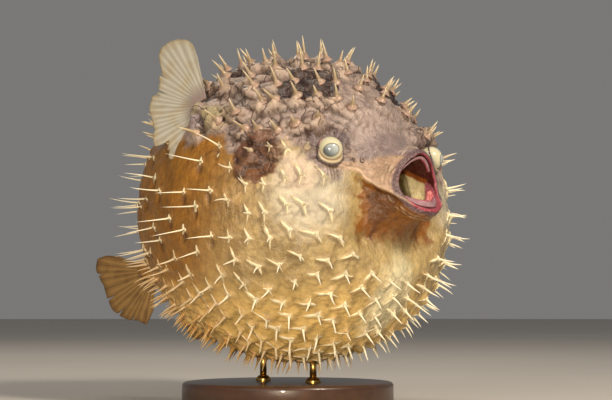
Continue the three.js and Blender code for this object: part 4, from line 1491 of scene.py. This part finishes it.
TISSUE = {"centre": (123.0, 16.8, 3.5), "size": (3.0, 2.8, 8.0)}


def wet_tissue():
    bm = bmesh.new()
    bmesh.ops.create_icosphere(bm, subdivisions=5, radius=1.0)
    mesh = mesh_from(bm, "mouth_tissue")
    d = coordinates(mesh)
    swell = 1 + 0.16 * lumps(d * 10, 6, 11) + 0.1 * lumps(d * 10, 3, 12)
    set_coordinates(mesh, np.array(TISSUE["centre"]) + d * swell[:, None] * TISSUE["size"])
    return mesh


# Varnish over dried flesh keeps it red and gives it a wet shine.
wet_flesh, tree = new_material("varnished_mouth_flesh")
position = add(tree, "ShaderNodeTexCoord").outputs["Object"]
blood = add(tree, "ShaderNodeTexNoise", None, Vector=position, Scale=per_metre(3.03), Detail=3.0)
flesh = add(
    tree, "ShaderNodeMix", BLEND, i0=blood.outputs["Fac"], i6=colour("#b43a4c"), i7=colour("#e09a92")
)
rough = add(tree, "ShaderNodeBump", None, Height=blood.outputs["Fac"], Strength=0.5, Distance=0.0006)
finish_material(
    tree,
    Base_Color=flesh.outputs[2],
    Roughness=0.25,
    Normal=rough.outputs[0],
    Subsurface_Weight=0.2,
    Subsurface_Radius=(0.003, 0.001, 0.001),
    Subsurface_Scale=1.0,
)
make_piece(wet_tissue(), "mouth_tissue", "lips", wet_flesh)

# %% [markdown]
# Fins. A dried fin is a stiff fan: bony rays run out from a fleshy root, with a thin skin
# between them that split at its edge. A walled grid is bent into the fan. Ridges follow the
# rays, the outer edge is frayed, and notches cut in where the skin tore.

# %% Shapes of the fins
PECTORAL = {
    "root": 7.0,
    "rays": 22,
    "edge": [
        (76.4, 36.5), (76, 44.3), (75.3, 48.4), (73.4, 52), (67.3, 55.6), (59.2, 57.5), (53, 57.2),
        (47.6, 55.1), (41.3, 47.3), (37.7, 43), (32, 42.7), (28, 40.3), (20, 38.6), (17.5, 38.2),
        (10.9, 41.5), (4.9, 41.5), (-1, 42.3), (-8, 41.2), (-17, 40.7), (-24.7, 41), (-26.5, 42.6),
        (-31, 45.2), (-38.5, 47), (-42, 37.5), (-49, 41), (-54.5, 46), (-57.5, 46), (-58, 37),
    ],
    "tears": [(35, 36, 1.0), (19, 31, 1.4), (14.5, 34, 1.0), (-42, 36, 1.2), (-12, 40, 0.8)],
}
CAUDAL = {
    "root": 8.0,
    "rays": 14,
    "edge": [
        (50, 38), (47, 51), (42, 61), (35, 62), (20, 55), (-2, 54), (-20, 48), (-34, 43),
        (-44, 44), (-51, 31),
    ],
    "tears": [(30, 54, 1.0), (8, 42, 0.8), (-10, 40, 1.0), (-27, 38, 0.8)],
}
DORSAL = {
    "root": 8.0,
    "rays": 13,
    "rise": 27.0,
    "edge": [(42, 28), (26, 38), (6, 41), (-14, 38), (-32, 30)],
    "tears": [(15, 33, 1.2), (-20, 31, 1.0)],
}
ANAL = {
    "root": 8.0,
    "rays": 13,
    "rise": -40.0,
    "edge": [(34, 27), (16, 34), (-4, 36), (-24, 32), (-40, 25)],
    "tears": [(5, 30, 1.2)],
}


def edge_length(fin, angle):
    """The fan's reach at each angle, through the edge's points, less the frays and the tears."""
    angles, reach = np.array(fin["edge"], float)[::-1].T
    fine = np.linspace(angles[0], angles[-1], 400)
    length = np.interp(fine, angles, reach)
    window = np.hanning(9) / np.hanning(9).sum()
    length = np.convolve(np.pad(length, 4, mode="edge"), window, "valid")
    found = np.interp(angle, fine, length)
    found -= 1.1 * np.abs(lumps(np.stack([angle, angle * 0, angle * 0], 1), 2.2, 14))
    for place, depth, half in fin["tears"]:
        cut = depth + (found - depth) * np.clip(np.abs(angle - place) / half, 0, 1) ** 0.8
        found = np.minimum(found, cut)
    return found


def fan_mesh(name, fin, apex, out_way, up_way, root_thickness):
    """The fan's point is at apex, its middle ray runs along out_way, its upper rays go up."""
    mesh, u, v, w = walled_grid(name, fin["rays"] * 10, 30)
    low, high = fin["edge"][-1][0], fin["edge"][0][0]
    angle = low + (high - low) * u
    reach = fin["root"] + (edge_length(fin, angle) - fin["root"]) * v
    ray = 0.5 + 0.5 * np.cos(2 * np.pi * u * fin["rays"] + 1.2 * np.sin(u * 23))
    half = 0.26 + 0.17 * ray**3 * (1 - 0.6 * v) + root_thickness * (1 - smooth(8, 21, reach))
    wave = 0.9 * np.sin(angle / 13.0) * v**2 + 0.5 * lumps(np.stack([reach, angle, v * 0], 1), 14, 15)
    wave += 0.06 * np.cos(np.pi * u * fin["rays"]) * v
    e1 = unit(out_way)
    e3 = unit(np.cross(e1, up_way))
    e2 = np.cross(e3, e1)
    radians = np.radians(angle)
    points = np.array(apex) + e1 * (reach * np.cos(radians))[:, None]
    points += e2 * (reach * np.sin(radians))[:, None]
    points += e3 * (wave + np.where(w > 0.5, half, -half))[:, None]
    set_coordinates(mesh, points)
    outward(mesh)
    store(mesh, "ray", ray)
    store(mesh, "reach", reach)
    store(mesh, "along", v)
    return mesh


def pectoral_fin(side_name, side):
    apex = direction(SHOULDER["turn"], SHOULDER["rise"], side) * (BALL_RADIUS + 1)
    apex = apex + np.array([2.4, 2.4 * side, 2.6])
    out_way = np.array([-0.71, -0.7 * side, 0.02])
    up_way = np.array([-0.14, 0.14 * side, 1.0])
    return fan_mesh(f"pectoral_{side_name}", PECTORAL, apex, out_way, up_way, 2.6)


def median_fin(name, fin, tilt_back):
    out_way = direction(180, fin["rise"] + tilt_back)
    apex = direction(180, fin["rise"]) * BALL_RADIUS - out_way * 4
    return fan_mesh(name, fin, apex, out_way, direction(0, 90 - fin["rise"]), 1.6)


def caudal_fin():
    apex = TAIL_AXIS * (PEDUNCLE_REACH - 10)
    out_way = direction(180 - TAIL_TURN, -CAUDAL_DROOP)
    return fan_mesh("caudal", CAUDAL, apex, out_way, np.array([0, 0, 1.0]), 2.2)


# %% Fin materials and pieces
def dried_fin(name, membrane, ray_tint, root_tint, stain_tint):
    """Dried fin membrane over bony rays; the root keeps the colour of the skin it grows from."""
    material, tree = new_material(name)
    position = add(tree, "ShaderNodeTexCoord").outputs["Object"]
    cloud = add(tree, "ShaderNodeTexNoise", None, Vector=position, Scale=per_metre(9.091), Detail=3.0)
    grain = add(tree, "ShaderNodeTexNoise", None, Vector=position, Scale=per_metre(1.25), Detail=2.0)
    ray, reach, along = (
        add(tree, "ShaderNodeAttribute", {"attribute_name": field}).outputs["Fac"]
        for field in ("ray", "reach", "along")
    )
    tinted = colour(membrane)
    for value, low, high, strength, tint in (
        (cloud.outputs["Fac"], 0.42, 0.72, 0.6, stain_tint),
        (ray, 0.5, 1.0, 0.5, ray_tint),
        (ray, 0.14, 0.0, 0.5, root_tint),
        (along, 0.86, 1.0, 0.55, stain_tint),
        (reach, 21.0, 9.0, 0.95, root_tint),
    ):
        share = add(tree, "ShaderNodeMapRange", EASED, i0=value, i1=low, i2=high, i3=0.0, i4=strength)
        layer = add(tree, "ShaderNodeMix", BLEND, i0=share.outputs[0], i6=tinted, i7=colour(tint))
        tinted = layer.outputs[2]
    rough = add(tree, "ShaderNodeBump", None, Height=grain.outputs[0], Strength=0.35, Distance=0.0004)
    finish_material(
        tree,
        Base_Color=tinted,
        Roughness=0.5,
        Normal=rough.outputs[0],
        Subsurface_Weight=0.15,
        Subsurface_Radius=(0.002, 0.0015, 0.001),
        Subsurface_Scale=1.0,
    )
    return material


pale_fin = dried_fin("dried_pale_fin", "#8f8d80", "#aaa89b", "#7a6a66", "#867650")
brown_fin = dried_fin("dried_brown_fin", "#8f6f3c", "#a8844c", "#57391c", "#5c3e1c")
for side, sign in SIDES.items():
    mesh = pectoral_fin(side, sign)
    make_piece(mesh, f"pectoral_{side}", "fin", pale_fin, replaces=(f"pectoral_fin_{side}",))
make_piece(caudal_fin(), "caudal", "fin", brown_fin, replaces=("caudal_fin",))
make_piece(median_fin("dorsal", DORSAL, 14), "dorsal", "fin", brown_fin, replaces=("dorsal_fin",))
make_piece(median_fin("anal", ANAL, 8), "anal", "fin", brown_fin, replaces=("anal_fin",))

# %% [markdown]
# The display stand: a turned hardwood disc, stained dark and waxed, and two brass rods that
# carry the fish, each in a small turned collar. All of it is spun from outlines.

# %% Stand
BASE_RADIUS = 78.0
BASE_THICKNESS = 14.0
COVE = 3.0
ROD_RADIUS = 2.5
ROD_X = {"rear": -26.0, "front": 26.0}
UNDERSIDE = -CENTRE_HEIGHT
BASE_TOP = UNDERSIDE + BASE_THICKNESS


def turned_piece(name, outline, centre_x, steps, rounding=0.0):
    """A closed solid spun from (radius, height) points that start and end on its axis."""
    bm = bmesh.new()
    previous = None
    for radius, height in outline:
        v = bm.verts.new((radius, 0, height))
        if previous:
            bm.edges.new((previous, v))
        previous = v
    full_turn(bm, (0, 0, 1), steps)
    bmesh.ops.remove_doubles(bm, verts=bm.verts, dist=1e-4)
    bmesh.ops.recalc_face_normals(bm, faces=bm.faces)
    if rounding:
        sharp = [e for e in bm.edges if len(e.link_faces) == 2 and e.calc_face_angle() > 0.7]
        bmesh.ops.bevel(
            bm,
            geom=sharp,
            offset=rounding,
            segments=3,
            profile=0.5,
            affect="EDGES",
            material=-1,
        )
    bmesh.ops.translate(bm, verts=bm.verts, vec=(centre_x, 0, 0))
    return mesh_from(bm, name)


turns = np.linspace(math.pi / 2, 0, 8)
cove_centre = (BASE_RADIUS - COVE, BASE_TOP - COVE)
base_outline = [
    (0, UNDERSIDE),
    (BASE_RADIUS - 1, UNDERSIDE),
    (BASE_RADIUS, UNDERSIDE + 1),
    *[(cove_centre[0] + COVE * math.sin(a), cove_centre[1] + COVE * math.cos(a)) for a in turns],
    (0, BASE_TOP),
]
collar_outline = [
    (ROD_RADIUS + 0.05, BASE_TOP - 0.5),
    (ROD_RADIUS + 3.2, BASE_TOP - 0.5),
    (ROD_RADIUS + 3.2, BASE_TOP + 1.6),
    (ROD_RADIUS + 1.4, BASE_TOP + 3.6),
    (ROD_RADIUS + 0.05, BASE_TOP + 4.2),
    (ROD_RADIUS + 0.05, BASE_TOP - 0.5),
]

# Walnut, stained and waxed: long dark grain along the plank under a soft shine. Its pores are
# really a few tenths of a millimetre wide, and are drawn at 1.1 mm so that they show.
stained_wood, tree = new_material("stained_walnut")
position = add(tree, "ShaderNodeTexCoord").outputs["Object"]
plank = add(tree, "ShaderNodeMapping", None, Vector=position, Scale=(0.12, 1, 1))
growth = add(tree, "ShaderNodeTexNoise", None, Vector=plank.outputs[0], Scale=per_metre(8.333), Detail=4.0)
pores = add(tree, "ShaderNodeTexNoise", None, Vector=plank.outputs[0], Scale=per_metre(1.111), Detail=2.0)
wood = add(
    tree, "ShaderNodeMix", BLEND, i0=growth.outputs["Fac"], i6=colour("#2a1a12"), i7=colour("#5a3b28")
)
rough = add(tree, "ShaderNodeBump", None, Height=pores.outputs["Fac"], Strength=0.25, Distance=0.0004)
finish_material(
    tree, Base_Color=wood.outputs[2], Roughness=0.35, Normal=rough.outputs[0], Coat_Weight=0.25
)

# Polished brass with a little tarnish, so that its yellow is not even.
brass, tree = new_material("polished_brass")
position = add(tree, "ShaderNodeTexCoord").outputs["Object"]
tarnish = add(tree, "ShaderNodeTexNoise", None, Vector=position, Scale=per_metre(11.11), Detail=3.0)
metal = add(
    tree, "ShaderNodeMix", BLEND, i0=tarnish.outputs["Fac"], i6=colour("#9c7a3c"), i7=colour("#d6b066")
)
finish_material(tree, Base_Color=metal.outputs[2], Metallic=1.0, Roughness=0.28)

base_mesh = turned_piece("base", base_outline, 0.0, 160)
make_piece(base_mesh, "base", "stand_wood", stained_wood, replaces=("stand_base",))
for place, x in ROD_X.items():
    top = float(on_skin(np.array([[x, 0.0, -BELLY_DEPTH]]))[0][0][2]) + 5
    rod_outline = [(0, BASE_TOP + 0.3), (ROD_RADIUS, BASE_TOP + 0.3), (ROD_RADIUS, top), (0, top)]
    rod = turned_piece(f"rod_{place}", rod_outline, x, 40)
    make_piece(rod, f"rod_{place}", "stand_rod", brass, replaces=(f"stand_rod_{place}",))
    collar = turned_piece(f"collar_{place}", collar_outline, x, 48, rounding=0.25)
    make_piece(collar, f"collar_{place}", "stand_rod", brass)

# %% Close the lesson
low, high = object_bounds()
{"cad": [list(c) for c in cad_box], "visual": [list(low), list(high)]}
print("CAD box:", [round(v, 4) for c in cad_box for v in c])
print("visual: ", [round(v, 4) for c in (low, high) for v in c])
